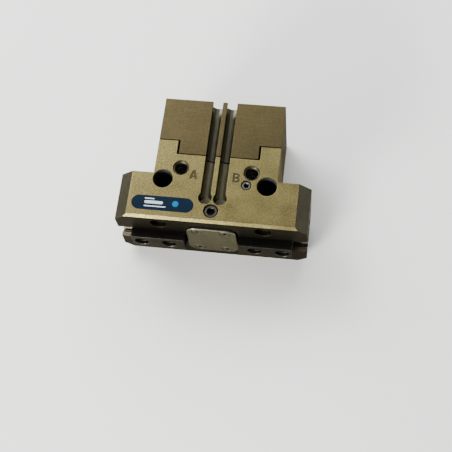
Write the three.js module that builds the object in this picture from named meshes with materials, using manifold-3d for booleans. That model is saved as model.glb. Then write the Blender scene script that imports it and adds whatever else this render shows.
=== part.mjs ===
// Two-finger parallel gripper, pneumatic, with springs that hold the closing force.
// An oval piston draws a wedge hook along Y, and its slanted T rails move both base jaws along X.
//
// Frame: millimetres, +Z up out of the face with the sensor slots and air ports. The gripper lies on its
// back mounting face at z = 0. The jaws slide along X, and their finger faces look along -Y.
// Inside the assembly group y is counted from the jaw side of the housing towards the base.

import * as THREE from "three";
import { mergeVertices } from "three/addons/utils/BufferGeometryUtils.js";
import Module from "manifold-3d";

const wasm = await Module();
wasm.setup();

// ---------------------------------------------------------------- driving dimensions

const THICK = 30; // front face to back face
const MID_Z = THICK / 2;
const HEAD_HALF = 34; // half the width of the head that guides the jaws
const HEAD_LENGTH = 17.4; // jaw side to shoulder
const BODY_HALF = 22; // half the width of the cylinder body
const BASE_Y = 47.6; // jaw side to base face
const JAW_RISE = 3.4; // how far the base jaws stand out of the housing
const END_BEVEL_X = 4.4;
const END_BEVEL_Z = 3.8;
const EDGE_CHAMFER = 1;

const SEAM_Y = 25.5; // housing meets cylinder cover
const EAR_Y = 30.75; // top of the housing's ears, outside the cover's tongue
const TONGUE_HALF = 14.6; // middle of the gap beside the cover's tongue
const SEAM_GAP = 0.1;
const TONGUE_GAP = 0.35;

const WEDGE_SLOPE = 0.8; // jaw travel for each millimetre of piston travel
const WEDGE_TOP = 1.7;
const WEDGE_LENGTH = 8;
const WEDGE_HALF = 10.2; // half width of the wedge at its top
const RAIL_NECK = 1.5;
const RAIL_HEAD = 1.7;
const RAIL_NECK_HALF_Z = 1.5;
const RAIL_HEAD_HALF_Z = 3;
const WEDGE_HALF_Z = 4.2;
const WEDGE_PLAY = 0.15;

const MOUTH_HALF = 4.3; // half width of the jaw channel at the jaw side
const TOOTH_TIP = 4.35;
const TOOTH_VALLEY = 5.6;
const TOOTH_START = 1.5;
const TOOTH_PITCH = 2.5;
const TOOTH_COUNT = 4;
const CHANNEL_FLOOR = 11.4;
const JAW_PLAY = 0.2;
const JAW_BOTTOM = CHANNEL_FLOOR - 0.3;
const JAW_INNER = 9.7; // jaw ends with the gripper closed
const JAW_OUTER = 28.8;
const JAW_TIP = 3.4; // the lowest part of a jaw stays clear of the piston rod

const POCKET_HALF = 11.2; // room for the wedge hook below the channel
const POCKET_HALF_Z = 4.7;
const POCKET_FLOOR = 16;
const BORE_FLOOR = 20.4;
const BORE_END = 42;
const BORE_HALF_X = 12;
const BORE_HALF_Z = 8.2;
const ROD_R = 3;
const ROD_SEAL_R = 4.5;
const ROD_SEAL_DEPTH = 1.8;
const COVER_SEAL = { inset: 0.4, width: 1, depth: 1, play: 0.1 }; // ring groove round the bore at the seam

const PISTON_TOP = 21;
const PISTON_LENGTH = 6.5;
const PISTON_CLEARANCE = 0.2;
const SEAL_GROOVE = 1.4;
const SEAL_GROOVE_START = 2.4; // from the piston's top
const SEAL_GROOVE_LENGTH = 2;
const MAGNET_R = 1;
const MAGNET_DEPTH = 1.6;
const MAGNET_DZ = 6;
const HOOK_SCREW_R = 1.2;
const HOOK_SCREW_END = 17.5;
const HOOK_SCREW_HEAD_R = 2.7;

const SLOT_X = 2.62; // sensor slots
const SLOT_START = 9.15;
const SLOT_MOUTH_HALF = 1.78;
const SLOT_R = 2.4;
const SLOT_DEPTH = 5;

const CROSS_X = 18.47; // mounting holes from front to back
const CROSS_Y = 15.3;
const CROSS_R = 2.15;
const CROSS_HEAD_R = 3.45;
const CROSS_HEAD_DEPTH = 18;
const SLEEVE_R = 3;
const SLEEVE_DEPTH = 2.4;

const PORT_X = 12.6; // air ports on the front face
const PORT_Y = 20.06;
const PORT_R = 2.5;
const PORT_SINK_R = 2.9;
const PORT_DEPTH = 5.2;
const PASSAGE_R = 0.9;
const PASSAGE_SIDES = 10;
const BASE_PORT_X = 11.6; // the same air, led to the base face
const BASE_PORT_Z = 26.4;
const BASE_PORT_R = 1.5;
const BASE_PORT_DEPTH = 4;
const BASE_PORT_SEAT_R = 2.4;
const BASE_PORT_SEAT = 0.8;

const PURGE_Y = 4.38;
const PURGE_R = 2.5;
const PURGE_DEPTH = 10;
const LOCK_X = 11.2; // small set screw beside the right air port
const LOCK_Y = 15.22;
const LOCK_R = 1.7;
const LOCK_DEPTH = 5;
const THREAD_PLAY = 0.05;

const ACCESSORY_X = 18.5; // threads in the jaw side, each with a seat for a centring sleeve
const ACCESSORY_DZ = 9.8;
const ACCESSORY_R = 2;
const ACCESSORY_DEPTH = 9;
const ACCESSORY_SEAT = 2;

const PLATE_HALF_X = 9.2; // cover plate between the jaws
const PLATE_HALF_Z = 9.6;
const PLATE_CORNER = 4;
const PLATE_RISE = 0.8;
const PLATE_SEAT = 1.2;
const PLATE_GAP = 0.3;
const PLATE_SCREW_X = 5;
const PLATE_SCREW_DZ = 7;
const PLATE_SCREW_R = 0.95;
const PLATE_SCREW_LENGTH = 3.5; // below the plate
const PLATE_SINK_R = 1.85;

const CLAMP_X = 18.3; // screws that clamp the cylinder cover to the housing
const CLAMP_DZ = 10.2;
const CLAMP_R = 1.5;
const CLAMP_HEAD_R = 2.75;
const CLAMP_HEAD_LENGTH = 3;
const CLAMP_HEAD_SINK = 0.25; // head's top below the base face
const CLAMP_END_Y = 21;

const DOWEL_R = 1.25;
const DOWEL_HALF = 3.5;
const BASE_THREAD_X = 17.6;
const BASE_THREAD_R = 1.7;
const BASE_THREAD_DEPTH = 10;

const SPRING_X = 5.6;
const SPRING_R = 2.95; // mean radius of the coil
const SPRING_WIRE_R = 0.45;
const SPRING_TURNS = 6.5;
const SPRING_SEAT_R = 3.9;
const SPRING_SEAT = 1.5;
const SPRING_BASE_SEAT = 1;

const FINGER_X = [15.4, 25.4]; // finger threads in each jaw
const FINGER_R = 1.25;
const FINGER_DEPTH = 7.4;
const FINGER_SLEEVE_R = 2.5;
const FINGER_SLEEVE_DEPTH = 1.5;

const LABEL = { x: -17.25, y: 5.65, length: 22, width: 5.4, thick: 0.15 };

const ROUND = 28; // segments of a visible hole
const SMALL_ROUND = 16;
const TINY_ROUND = 12;

// ---------------------------------------------------------------- solids

function solid(geometry) {
  const bare = geometry.clone();
  bare.deleteAttribute("normal");
  bare.deleteAttribute("uv");
  const merged = mergeVertices(bare, 1e-4);
  return new wasm.Manifold(
    new wasm.Mesh({
      numProp: 3,
      vertProperties: merged.attributes.position.array,
      triVerts: new Uint32Array(merged.index.array),
    }),
  );
}

function geometryOf(made) {
  const mesh = made.getMesh();
  const geometry = new THREE.BufferGeometry()
    .setAttribute("position", new THREE.BufferAttribute(mesh.vertProperties, 3))
    .setIndex(new THREE.BufferAttribute(mesh.triVerts, 1))
    .toNonIndexed();
  geometry.computeVertexNormals();
  return geometry;
}

function join(...pieces) {
  return pieces.reduce((a, b) => a.add(b));
}

function cut(body, ...tools) {
  return tools.reduce((a, b) => a.subtract(b), body);
}

function block([x0, x1], [y0, y1], [z0, z1]) {
  const box = new THREE.BoxGeometry(x1 - x0, y1 - y0, z1 - z0);
  return solid(box.translate((x0 + x1) / 2, (y0 + y1) / 2, (z0 + z1) / 2));
}

// A round bar along an axis; r1 makes it a cone that ends with that radius.
function rod(axis, [x, y, z], from, to, r0, { r1 = r0, sides = ROUND } = {}) {
  const bar = new THREE.CylinderGeometry(r1, r0, to - from, sides);
  bar.translate(0, (from + to) / 2, 0);
  if (axis === "z") bar.rotateX(Math.PI / 2);
  if (axis === "x") bar.rotateZ(-Math.PI / 2);
  return solid(bar.translate(x, y, z));
}

function hexagon(axis, place, from, to, acrossFlats) {
  return rod(axis, place, from, to, acrossFlats / Math.sqrt(3), { sides: 6 });
}

function extrude(shape, depth, curveSegments = 8) {
  return new THREE.ExtrudeGeometry(shape, { depth, bevelEnabled: false, curveSegments });
}

// An outline in x and y, pulled along z.
function alongZ(points, [z0, z1]) {
  const shape = new THREE.Shape(points.map(([x, y]) => new THREE.Vector2(x, y)));
  return solid(extrude(shape, z1 - z0).translate(0, 0, z0));
}

// An outline in y and z, pulled along x.
function alongX(points, [x0, x1]) {
  const shape = new THREE.Shape(points.map(([y, z]) => new THREE.Vector2(y, z)));
  const pulled = extrude(shape, x1 - x0).rotateX(Math.PI / 2).rotateZ(Math.PI / 2);
  return solid(pulled.translate(x0, 0, 0));
}

// An outline in x and z, pulled along y.
function alongY(shape, [y0, y1], curveSegments = 8) {
  return solid(extrude(shape, y1 - y0, curveSegments).rotateX(Math.PI / 2).translate(0, y1, 0));
}

// A rectangle with round corners, centred on x = 0 and mid thickness.
function roundedRectangle(halfX, halfZ, radius) {
  const shape = new THREE.Shape();
  const flatX = halfX - radius;
  const flatZ = halfZ - radius;
  shape.absarc(flatX, MID_Z + flatZ, radius, 0, Math.PI / 2);
  shape.absarc(-flatX, MID_Z + flatZ, radius, Math.PI / 2, Math.PI);
  shape.absarc(-flatX, MID_Z - flatZ, radius, Math.PI, 1.5 * Math.PI);
  shape.absarc(flatX, MID_Z - flatZ, radius, 1.5 * Math.PI, 2 * Math.PI);
  return shape;
}

function oval(halfX, halfZ, span, curveSegments = 8) {
  return alongY(roundedRectangle(halfX, halfZ, halfZ - 1e-3), span, curveSegments);
}

function mirrorX(body) {
  return body.mirror([1, 0, 0]);
}

function bothSides(body) {
  return body.add(mirrorX(body));
}

// ---------------------------------------------------------------- shared outlines

// Half width of the toothed jaw channel against depth, less the play.
function toothedOutline(top, bottom, play) {
  const side = [
    [top, MOUTH_HALF - play],
    [TOOTH_START, MOUTH_HALF - play],
  ];
  const flank = TOOTH_PITCH * 0.38;
  const flat = TOOTH_PITCH * 0.12;
  for (let tooth = 0; tooth < TOOTH_COUNT; tooth++) {
    const start = TOOTH_START + tooth * TOOTH_PITCH;
    side.push([start + flank, TOOTH_VALLEY - play], [start + flank + flat, TOOTH_VALLEY - play]);
    if (tooth < TOOTH_COUNT - 1) {
      side.push([start + 2 * flank + flat, TOOTH_TIP - play]);
      side.push([start + TOOTH_PITCH, TOOTH_TIP - play]);
    }
  }
  side.pop();
  side.push([bottom, TOOTH_VALLEY - play]);
  const upper = side.map(([y, half]) => [y, MID_Z + half]);
  const lower = side.map(([y, half]) => [y, MID_Z - half]).reverse();
  return [...upper, ...lower];
}

// X of the wedge's right flank, moved out by offset, at depth y.
function flankX(y, offset = 0) {
  return WEDGE_HALF - WEDGE_SLOPE * (y - WEDGE_TOP) + offset;
}

// A strip along the right flank between two offsets.
function flankStrip(from, to, [y0, y1], halfZ) {
  const outline = [
    [flankX(y0, from), y0],
    [flankX(y0, to), y0],
    [flankX(y1, to), y1],
    [flankX(y1, from), y1],
  ];
  return alongZ(outline, [MID_Z - halfZ, MID_Z + halfZ]);
}

function sensorSlots([y0, y1]) {
  const roundZ = THICK - SLOT_DEPTH + SLOT_R;
  const top = THICK + 1;
  let slots = null;
  for (const x of [-SLOT_X, SLOT_X]) {
    const slot = join(
      block([x - SLOT_MOUTH_HALF, x + SLOT_MOUTH_HALF], [y0, y1], [roundZ, top]),
      rod("y", [x, 0, roundZ], y0, y1, SLOT_R, { sides: 24 }),
    );
    slots = slots ? slots.add(slot) : slot;
  }
  return slots;
}

function clampHoles(r, [y0, y1], sides = SMALL_ROUND) {
  const corner = (side) => rod("y", [CLAMP_X, 0, MID_Z + side * CLAMP_DZ], y0, y1, r, { sides });
  return bothSides(corner(1).add(corner(-1)));
}

// ---------------------------------------------------------------- fixed pieces

function housing() {
  const head = alongY(
    new THREE.Shape([
      new THREE.Vector2(-HEAD_HALF, END_BEVEL_Z),
      new THREE.Vector2(-HEAD_HALF + END_BEVEL_X, 0),
      new THREE.Vector2(HEAD_HALF - END_BEVEL_X, 0),
      new THREE.Vector2(HEAD_HALF, END_BEVEL_Z),
      new THREE.Vector2(HEAD_HALF, THICK - END_BEVEL_Z),
      new THREE.Vector2(HEAD_HALF - END_BEVEL_X, THICK),
      new THREE.Vector2(-HEAD_HALF + END_BEVEL_X, THICK),
      new THREE.Vector2(-HEAD_HALF, THICK - END_BEVEL_Z),
    ]),
    [0, HEAD_LENGTH],
  );
  const body = block([-BODY_HALF, BODY_HALF], [HEAD_LENGTH - 1, EAR_Y], [0, THICK]);
  const chamfered = alongX(
    [
      [EDGE_CHAMFER, 0],
      [EAR_Y, 0],
      [EAR_Y, THICK],
      [EDGE_CHAMFER, THICK],
      [0, THICK - EDGE_CHAMFER],
      [0, EDGE_CHAMFER],
    ],
    [-HEAD_HALF - 1, HEAD_HALF + 1],
  );
  const outside = head.add(body).intersect(chamfered);
  const inner = TONGUE_HALF + TONGUE_GAP;
  const roughed = cut(
    outside,
    block([-inner, inner], [SEAM_Y, EAR_Y + 1], [-1, THICK + 1]),
    alongX(toothedOutline(-1, CHANNEL_FLOOR, 0), [-HEAD_HALF - 1, HEAD_HALF + 1]),
    block(
      [-POCKET_HALF, POCKET_HALF],
      [CHANNEL_FLOOR - 1, POCKET_FLOOR],
      [MID_Z - POCKET_HALF_Z, MID_Z + POCKET_HALF_Z],
    ),
    oval(BORE_HALF_X, BORE_HALF_Z, [BORE_FLOOR, SEAM_Y + 1]),
    rod("y", [0, 0, MID_Z], POCKET_FLOOR - 1, BORE_FLOOR + 1, ROD_R + 0.1, { sides: SMALL_ROUND }),
    rod("y", [0, 0, MID_Z], BORE_FLOOR - ROD_SEAL_DEPTH, BORE_FLOOR + 1, ROD_SEAL_R, {
      sides: SMALL_ROUND,
    }),
    sealGroove(),
    alongY(
      roundedRectangle(PLATE_HALF_X + PLATE_GAP, PLATE_HALF_Z + PLATE_GAP, PLATE_CORNER + PLATE_GAP),
      [-1, PLATE_SEAT],
    ),
  );
  return cut(
    roughed,
    sensorSlots([SLOT_START, EAR_Y + 1]),
    rod("z", [SLOT_X, SLOT_START, 0], THICK - SLOT_DEPTH, THICK + 1, SLOT_R),
    rod("z", [-SLOT_X, SLOT_START, 0], THICK - SLOT_DEPTH, THICK + 1, SLOT_R),
    crossHoles(),
    frontPorts(),
    rod("z", [0, PURGE_Y, 0], THICK - PURGE_DEPTH, THICK + 1, PURGE_R),
    rod("z", [LOCK_X, LOCK_Y, 0], THICK - LOCK_DEPTH, THICK + 1, LOCK_R, { sides: SMALL_ROUND }),
    accessoryThreads(),
    clampHoles(CLAMP_R + 0.1, [CLAMP_END_Y - 0.5, EAR_Y + 1]),
    dowelHoles(),
    plateScrewHoles(),
  );
}

// An oval ring round the bore, this far outside its wall.
function ovalRing(inset, width, [y0, y1]) {
  const outer = oval(BORE_HALF_X + inset + width, BORE_HALF_Z + inset + width, [y0, y1]);
  return outer.subtract(oval(BORE_HALF_X + inset, BORE_HALF_Z + inset, [y0 - 1, y1 + 1]));
}

function sealGroove() {
  return ovalRing(COVER_SEAL.inset, COVER_SEAL.width, [SEAM_Y - COVER_SEAL.depth, SEAM_Y + 1]);
}

function dowelHoles() {
  const reach = DOWEL_HALF + 0.5;
  const hole = rod("y", [CLAMP_X, 0, MID_Z], EAR_Y - reach, EAR_Y + reach, DOWEL_R + THREAD_PLAY, {
    sides: SMALL_ROUND,
  });
  return bothSides(hole);
}

// Front to back: a deep seat for the screw's head, and a seat for a centring sleeve in the back face.
function crossHoles() {
  const place = [CROSS_X, CROSS_Y, 0];
  return bothSides(
    join(
      rod("z", place, -1, THICK, CROSS_R, { sides: SMALL_ROUND }),
      rod("z", place, THICK - CROSS_HEAD_DEPTH, THICK + 1, CROSS_HEAD_R),
      rod("z", place, -1, SLEEVE_DEPTH, SLEEVE_R),
    ),
  );
}

function frontPorts() {
  const floor = THICK - PORT_DEPTH;
  return bothSides(
    join(
      rod("z", [PORT_X, PORT_Y, 0], floor, THICK + 1, PORT_R),
      rod("z", [PORT_X, PORT_Y, 0], THICK - 0.5, THICK + 0.1, PORT_R - 0.1, { r1: PORT_SINK_R + 0.1 }),
      rod("z", [PORT_X - 1.7, PORT_Y + 1.5, 0], MID_Z + 3, floor + 1, PASSAGE_R, { sides: PASSAGE_SIDES }),
      rod("y", [BASE_PORT_X, 0, BASE_PORT_Z], PORT_Y, SEAM_Y + 1, PASSAGE_R, { sides: PASSAGE_SIDES }),
    ),
  );
}

function accessoryThreads() {
  const one = (side) => {
    const place = [ACCESSORY_X, 0, MID_Z + side * ACCESSORY_DZ];
    return join(
      rod("y", place, -1, ACCESSORY_DEPTH, ACCESSORY_R, { sides: 24 }),
      rod("y", place, -1, ACCESSORY_SEAT, SLEEVE_R),
    );
  };
  return bothSides(one(1).add(one(-1)));
}

function plateScrewHoles() {
  const one = (side) => {
    const place = [PLATE_SCREW_X, 0, MID_Z + side * PLATE_SCREW_DZ];
    return rod("y", place, PLATE_SEAT - 1, PLATE_SEAT + PLATE_SCREW_LENGTH + 0.5, PLATE_SCREW_R + 0.1, {
      sides: TINY_ROUND,
    });
  };
  return bothSides(one(1).add(one(-1)));
}

function cylinderCover() {
  const tongue = TONGUE_HALF - TONGUE_GAP;
  const outside = join(
    block([-BODY_HALF, BODY_HALF], [EAR_Y + SEAM_GAP, BASE_Y], [0, THICK]),
    block([-tongue, tongue], [SEAM_Y + SEAM_GAP, EAR_Y + 1], [0, THICK]),
  );
  const portPlace = [BASE_PORT_X, 0, BASE_PORT_Z];
  const small = { sides: SMALL_ROUND };
  const basePort = join(
    rod("y", portPlace, SEAM_Y - 1, BASE_Y + 1, PASSAGE_R, { sides: PASSAGE_SIDES }),
    rod("y", portPlace, BASE_Y - BASE_PORT_DEPTH, BASE_Y + 1, BASE_PORT_R, small),
    rod("y", portPlace, BASE_Y - BASE_PORT_SEAT, BASE_Y + 1, BASE_PORT_SEAT_R, small),
  );
  const baseThread = join(
    rod("y", [BASE_THREAD_X, 0, MID_Z], BASE_Y - BASE_THREAD_DEPTH, BASE_Y + 1, BASE_THREAD_R, small),
    rod("y", [BASE_THREAD_X, 0, MID_Z], BASE_Y - SLEEVE_DEPTH, BASE_Y + 1, SLEEVE_R),
  );
  const springPlace = [SPRING_X, 0, MID_Z];
  const springSeat = rod("y", springPlace, BORE_END - 1, BORE_END + SPRING_BASE_SEAT, SPRING_SEAT_R, small);
  const clampSeat = BASE_Y - CLAMP_HEAD_SINK - CLAMP_HEAD_LENGTH - 0.05;
  return cut(
    outside,
    oval(BORE_HALF_X, BORE_HALF_Z, [SEAM_Y - 1, BORE_END]),
    sensorSlots([SEAM_Y - 1, BASE_Y + 1]),
    clampHoles(CLAMP_R + 0.15, [EAR_Y - 1, BASE_Y + 1]),
    clampHoles(CLAMP_HEAD_R + 0.25, [clampSeat, BASE_Y + 1], ROUND),
    bothSides(basePort),
    bothSides(baseThread),
    bothSides(springSeat),
    dowelHoles(),
  );
}

function centreCover() {
  const plate = alongY(roundedRectangle(PLATE_HALF_X, PLATE_HALF_Z, PLATE_CORNER), [
    -PLATE_RISE,
    PLATE_SEAT,
  ]);
  const hole = (side) => {
    const place = [PLATE_SCREW_X, 0, MID_Z + side * PLATE_SCREW_DZ];
    return join(
      rod("y", place, -PLATE_RISE - 1, PLATE_SEAT + 1, PLATE_SCREW_R + 0.15, { sides: SMALL_ROUND }),
      rod("y", place, -PLATE_RISE - 0.1, 0.3, PLATE_SINK_R + 0.15, {
        r1: PLATE_SCREW_R + 0.05,
        sides: SMALL_ROUND,
      }),
    );
  };
  return cut(plate, bothSides(hole(1).add(hole(-1))));
}

// Countersunk screw of the plate between the jaws.
function plateScrew(x, z) {
  const place = [x, 0, z];
  const shank = join(
    rod("y", place, -PLATE_RISE + 0.05, 0.2, PLATE_SINK_R, { r1: PLATE_SCREW_R, sides: SMALL_ROUND }),
    rod("y", place, 0, PLATE_SEAT + PLATE_SCREW_LENGTH, PLATE_SCREW_R, { sides: TINY_ROUND }),
  );
  return cut(shank, hexagon("y", place, -PLATE_RISE - 1, 0.3, 1.3));
}

// Socket head cap screw that clamps the cylinder cover; its head sits in the base face.
function clampScrew(x, z) {
  const place = [x, 0, z];
  const headTop = BASE_Y - CLAMP_HEAD_SINK;
  const body = join(
    rod("y", place, headTop - CLAMP_HEAD_LENGTH, headTop, CLAMP_HEAD_R, { sides: 24 }),
    rod("y", place, CLAMP_END_Y, headTop - CLAMP_HEAD_LENGTH + 0.5, CLAMP_R, { sides: SMALL_ROUND }),
  );
  return cut(body, hexagon("y", place, headTop - 1.6, headTop + 1, 2.5));
}

function dowelPin(x) {
  return rod("y", [x, 0, MID_Z], EAR_Y - DOWEL_HALF, EAR_Y + DOWEL_HALF, DOWEL_R, { sides: SMALL_ROUND });
}

function cylinderSeal() {
  const { inset, width, depth, play } = COVER_SEAL;
  return ovalRing(inset + play, width - 2 * play, [SEAM_Y - depth + THREAD_PLAY, SEAM_Y + SEAM_GAP / 2]);
}

function rodSeal() {
  const place = [0, 0, MID_Z];
  const top = BORE_FLOOR - ROD_SEAL_DEPTH + 0.1;
  const ring = rod("y", place, top, BORE_FLOOR - 0.1, ROD_SEAL_R - 0.1, { sides: SMALL_ROUND });
  return cut(ring, rod("y", place, top - 1, BORE_FLOOR + 1, ROD_R + 0.05, { sides: SMALL_ROUND }));
}

// Set screw with a hexagon socket, driven in from the front face.
function frontSetScrew([x, y], r, bottom, top, socket) {
  const body = rod("z", [x, y, 0], bottom, top, r, { sides: 24 });
  return cut(body, hexagon("z", [x, y, 0], top - socket, top + 1, socket));
}

function basePortPlug(x) {
  const place = [x, 0, BASE_PORT_Z];
  const top = BASE_Y - BASE_PORT_SEAT;
  const end = BASE_Y - BASE_PORT_DEPTH + 0.2;
  const body = rod("y", place, end, top, BASE_PORT_R - 0.1, { sides: SMALL_ROUND });
  return cut(body, hexagon("y", place, top - 1.4, top + 1, 1.5));
}

function namePlate() {
  const radius = LABEL.width / 2;
  const run = LABEL.length / 2 - radius;
  const shape = new THREE.Shape();
  shape.absarc(LABEL.x + run, LABEL.y, radius, -Math.PI / 2, Math.PI / 2);
  shape.absarc(LABEL.x - run, LABEL.y, radius, Math.PI / 2, 1.5 * Math.PI);
  return solid(extrude(shape, LABEL.thick).translate(0, 0, THICK));
}

// ---------------------------------------------------------------- piston and wedge

function piston() {
  const bottom = PISTON_TOP + PISTON_LENGTH;
  const halfX = BORE_HALF_X - PISTON_CLEARANCE;
  const halfZ = BORE_HALF_Z - PISTON_CLEARANCE;
  const grooveStart = PISTON_TOP + SEAL_GROOVE_START;
  const grooveEnd = grooveStart + SEAL_GROOVE_LENGTH;
  const seat = rod("y", [SPRING_X, 0, MID_Z], bottom - SPRING_SEAT, bottom + 1, SPRING_SEAT_R, {
    sides: SMALL_ROUND,
  });
  const body = join(
    oval(halfX, halfZ, [PISTON_TOP, grooveStart]),
    oval(halfX - SEAL_GROOVE, halfZ - SEAL_GROOVE, [grooveStart - 0.1, grooveEnd + 0.1]),
    oval(halfX, halfZ, [grooveEnd, bottom]),
    rod("y", [0, 0, MID_Z], WEDGE_TOP + WEDGE_LENGTH + 0.05, PISTON_TOP + 1, ROD_R, { sides: SMALL_ROUND }),
  );
  return cut(
    body,
    bothSides(seat),
    bothSides(
      rod("y", [SLOT_X, 0, MID_Z + MAGNET_DZ], bottom - MAGNET_DEPTH, bottom + 1, MAGNET_R + THREAD_PLAY, {
        sides: TINY_ROUND,
      }),
    ),
    rod("y", [0, 0, MID_Z], 0, HOOK_SCREW_END + 1, HOOK_SCREW_R + 0.1, { sides: TINY_ROUND }),
  );
}

function pistonSeal() {
  const start = PISTON_TOP + SEAL_GROOVE_START;
  const span = [start + 0.1, start + SEAL_GROOVE_LENGTH - 0.1];
  const outer = oval(BORE_HALF_X - 0.08, BORE_HALF_Z - 0.08, span);
  const inner = oval(
    BORE_HALF_X - PISTON_CLEARANCE - SEAL_GROOVE + 0.1,
    BORE_HALF_Z - PISTON_CLEARANCE - SEAL_GROOVE + 0.1,
    [span[0] - 1, span[1] + 1],
  );
  return outer.subtract(inner);
}

function pistonMagnet(x) {
  const bottom = PISTON_TOP + PISTON_LENGTH;
  const place = [x, 0, MID_Z + MAGNET_DZ];
  const top = bottom - MAGNET_DEPTH + 0.1;
  return rod("y", place, top, bottom - 0.1, MAGNET_R - THREAD_PLAY, { sides: TINY_ROUND });
}

function wedgeHook() {
  const span = [WEDGE_TOP, WEDGE_TOP + WEDGE_LENGTH];
  const core = alongZ(
    [
      [-flankX(span[0]), span[0]],
      [flankX(span[0]), span[0]],
      [flankX(span[1]), span[1]],
      [-flankX(span[1]), span[1]],
    ],
    [MID_Z - WEDGE_HALF_Z, MID_Z + WEDGE_HALF_Z],
  );
  const rail = join(
    flankStrip(-0.5, RAIL_NECK + 0.1, span, RAIL_NECK_HALF_Z),
    flankStrip(RAIL_NECK, RAIL_NECK + RAIL_HEAD, span, RAIL_HEAD_HALF_Z),
  );
  return cut(
    core.add(bothSides(rail)),
    rod("y", [0, 0, MID_Z], span[0] - 1, span[0] + 2.9, HOOK_SCREW_HEAD_R + 0.2, { sides: 24 }),
    rod("y", [0, 0, MID_Z], span[0], span[1] + 1, HOOK_SCREW_R + 0.4, { sides: TINY_ROUND }),
  );
}

function hookScrew() {
  const place = [0, 0, MID_Z];
  const body = join(
    rod("y", place, WEDGE_TOP + 0.1, WEDGE_TOP + 2.8, HOOK_SCREW_HEAD_R, { sides: 24 }),
    rod("y", place, WEDGE_TOP + 2, HOOK_SCREW_END, HOOK_SCREW_R, { sides: TINY_ROUND }),
  );
  return cut(body, hexagon("y", place, WEDGE_TOP - 1, WEDGE_TOP + 1.6, 2.5));
}

// Coil spring between the piston and the floor of the cylinder.
function closingSpring() {
  const from = PISTON_TOP + PISTON_LENGTH - SPRING_SEAT + SPRING_WIRE_R + 0.05;
  const to = BORE_END + SPRING_BASE_SEAT - SPRING_WIRE_R - 0.05;
  const stepsPerTurn = 12;
  const steps = SPRING_TURNS * stepsPerTurn;
  const sides = 5;
  const position = [];
  const index = [];
  for (let i = 0; i <= steps; i++) {
    const turn = (i / stepsPerTurn) * 2 * Math.PI;
    const y = from + ((to - from) * i) / steps;
    for (let k = 0; k < sides; k++) {
      const around = (k / sides) * 2 * Math.PI;
      const r = SPRING_R + SPRING_WIRE_R * Math.cos(around);
      position.push(r * Math.cos(turn), y + SPRING_WIRE_R * Math.sin(around), MID_Z + r * Math.sin(turn));
    }
  }
  for (let i = 0; i < steps; i++) {
    for (let k = 0; k < sides; k++) {
      const a = i * sides + k;
      const b = i * sides + ((k + 1) % sides);
      index.push(a, b, a + sides, b, b + sides, a + sides);
    }
  }
  for (let k = 1; k < sides - 1; k++) {
    const last = steps * sides;
    index.push(0, k + 1, k, last, last + k, last + k + 1);
  }
  const geometry = new THREE.BufferGeometry();
  geometry.setAttribute("position", new THREE.Float32BufferAttribute(position, 3));
  geometry.setIndex(index);
  geometry.computeVertexNormals();
  return geometry;
}

// ---------------------------------------------------------------- base jaw, on the +X side

function baseJaw() {
  const bar = alongX(toothedOutline(-JAW_RISE, JAW_BOTTOM, JAW_PLAY), [JAW_TIP, JAW_OUTER]);
  const overWedge = WEDGE_TOP - WEDGE_PLAY;
  const inside = alongZ(
    [
      [0, -JAW_RISE - 1],
      [JAW_INNER, -JAW_RISE - 1],
      [JAW_INNER, overWedge],
      [flankX(overWedge, WEDGE_PLAY), overWedge],
      [flankX(JAW_BOTTOM + 1, WEDGE_PLAY), JAW_BOTTOM + 1],
      [0, JAW_BOTTOM + 1],
    ],
    [-1, THICK + 1],
  );
  const slot = join(
    flankStrip(-1, RAIL_NECK, [overWedge, JAW_BOTTOM + 1], RAIL_NECK_HALF_Z + WEDGE_PLAY),
    flankStrip(
      RAIL_NECK - WEDGE_PLAY,
      RAIL_NECK + RAIL_HEAD + WEDGE_PLAY,
      [overWedge, JAW_BOTTOM + 1],
      RAIL_HEAD_HALF_Z + WEDGE_PLAY,
    ),
  );
  const face = -JAW_RISE;
  const fingerHoles = FINGER_X.map((x) =>
    join(
      rod("y", [x, 0, MID_Z], face - 1, face + FINGER_DEPTH, FINGER_R, { sides: SMALL_ROUND }),
      rod("y", [x, 0, MID_Z], face - 1, face + FINGER_SLEEVE_DEPTH, FINGER_SLEEVE_R, { sides: 24 }),
    ),
  );
  return cut(bar, inside, slot, ...fingerHoles);
}

// ---------------------------------------------------------------- materials

function metal(color, roughness) {
  return new THREE.MeshStandardMaterial({ color, roughness, metalness: 1 });
}

const ANODISED = metal(0x94875f, 0.45);
const ANODISED_BRUSHED = metal(0x7a6b48, 0.4);
const JAW_STEEL = metal(0x3a3a36, 0.35);
const BRIGHT_STEEL = metal(0xa8a49a, 0.3);
const BLACK_STEEL = metal(0x26262a, 0.4);
const SPRING_STEEL = metal(0x8f9296, 0.3);
const RUBBER = new THREE.MeshStandardMaterial({ color: 0x151515, roughness: 0.8, metalness: 0 });
const LABEL_BLUE = new THREE.MeshStandardMaterial({ color: 0x0f2a55, roughness: 0.35, metalness: 0 });

// ---------------------------------------------------------------- assembly

const gripper = new THREE.Group();
const assembly = new THREE.Group();
assembly.position.y = (JAW_RISE - BASE_Y) / 2; // the middle of the part's length is y = 0
gripper.add(assembly);

function place(name, geometry, material, x = 0) {
  const mesh = new THREE.Mesh(geometry, material);
  mesh.name = name;
  mesh.position.x = x;
  assembly.add(mesh);
}

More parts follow.
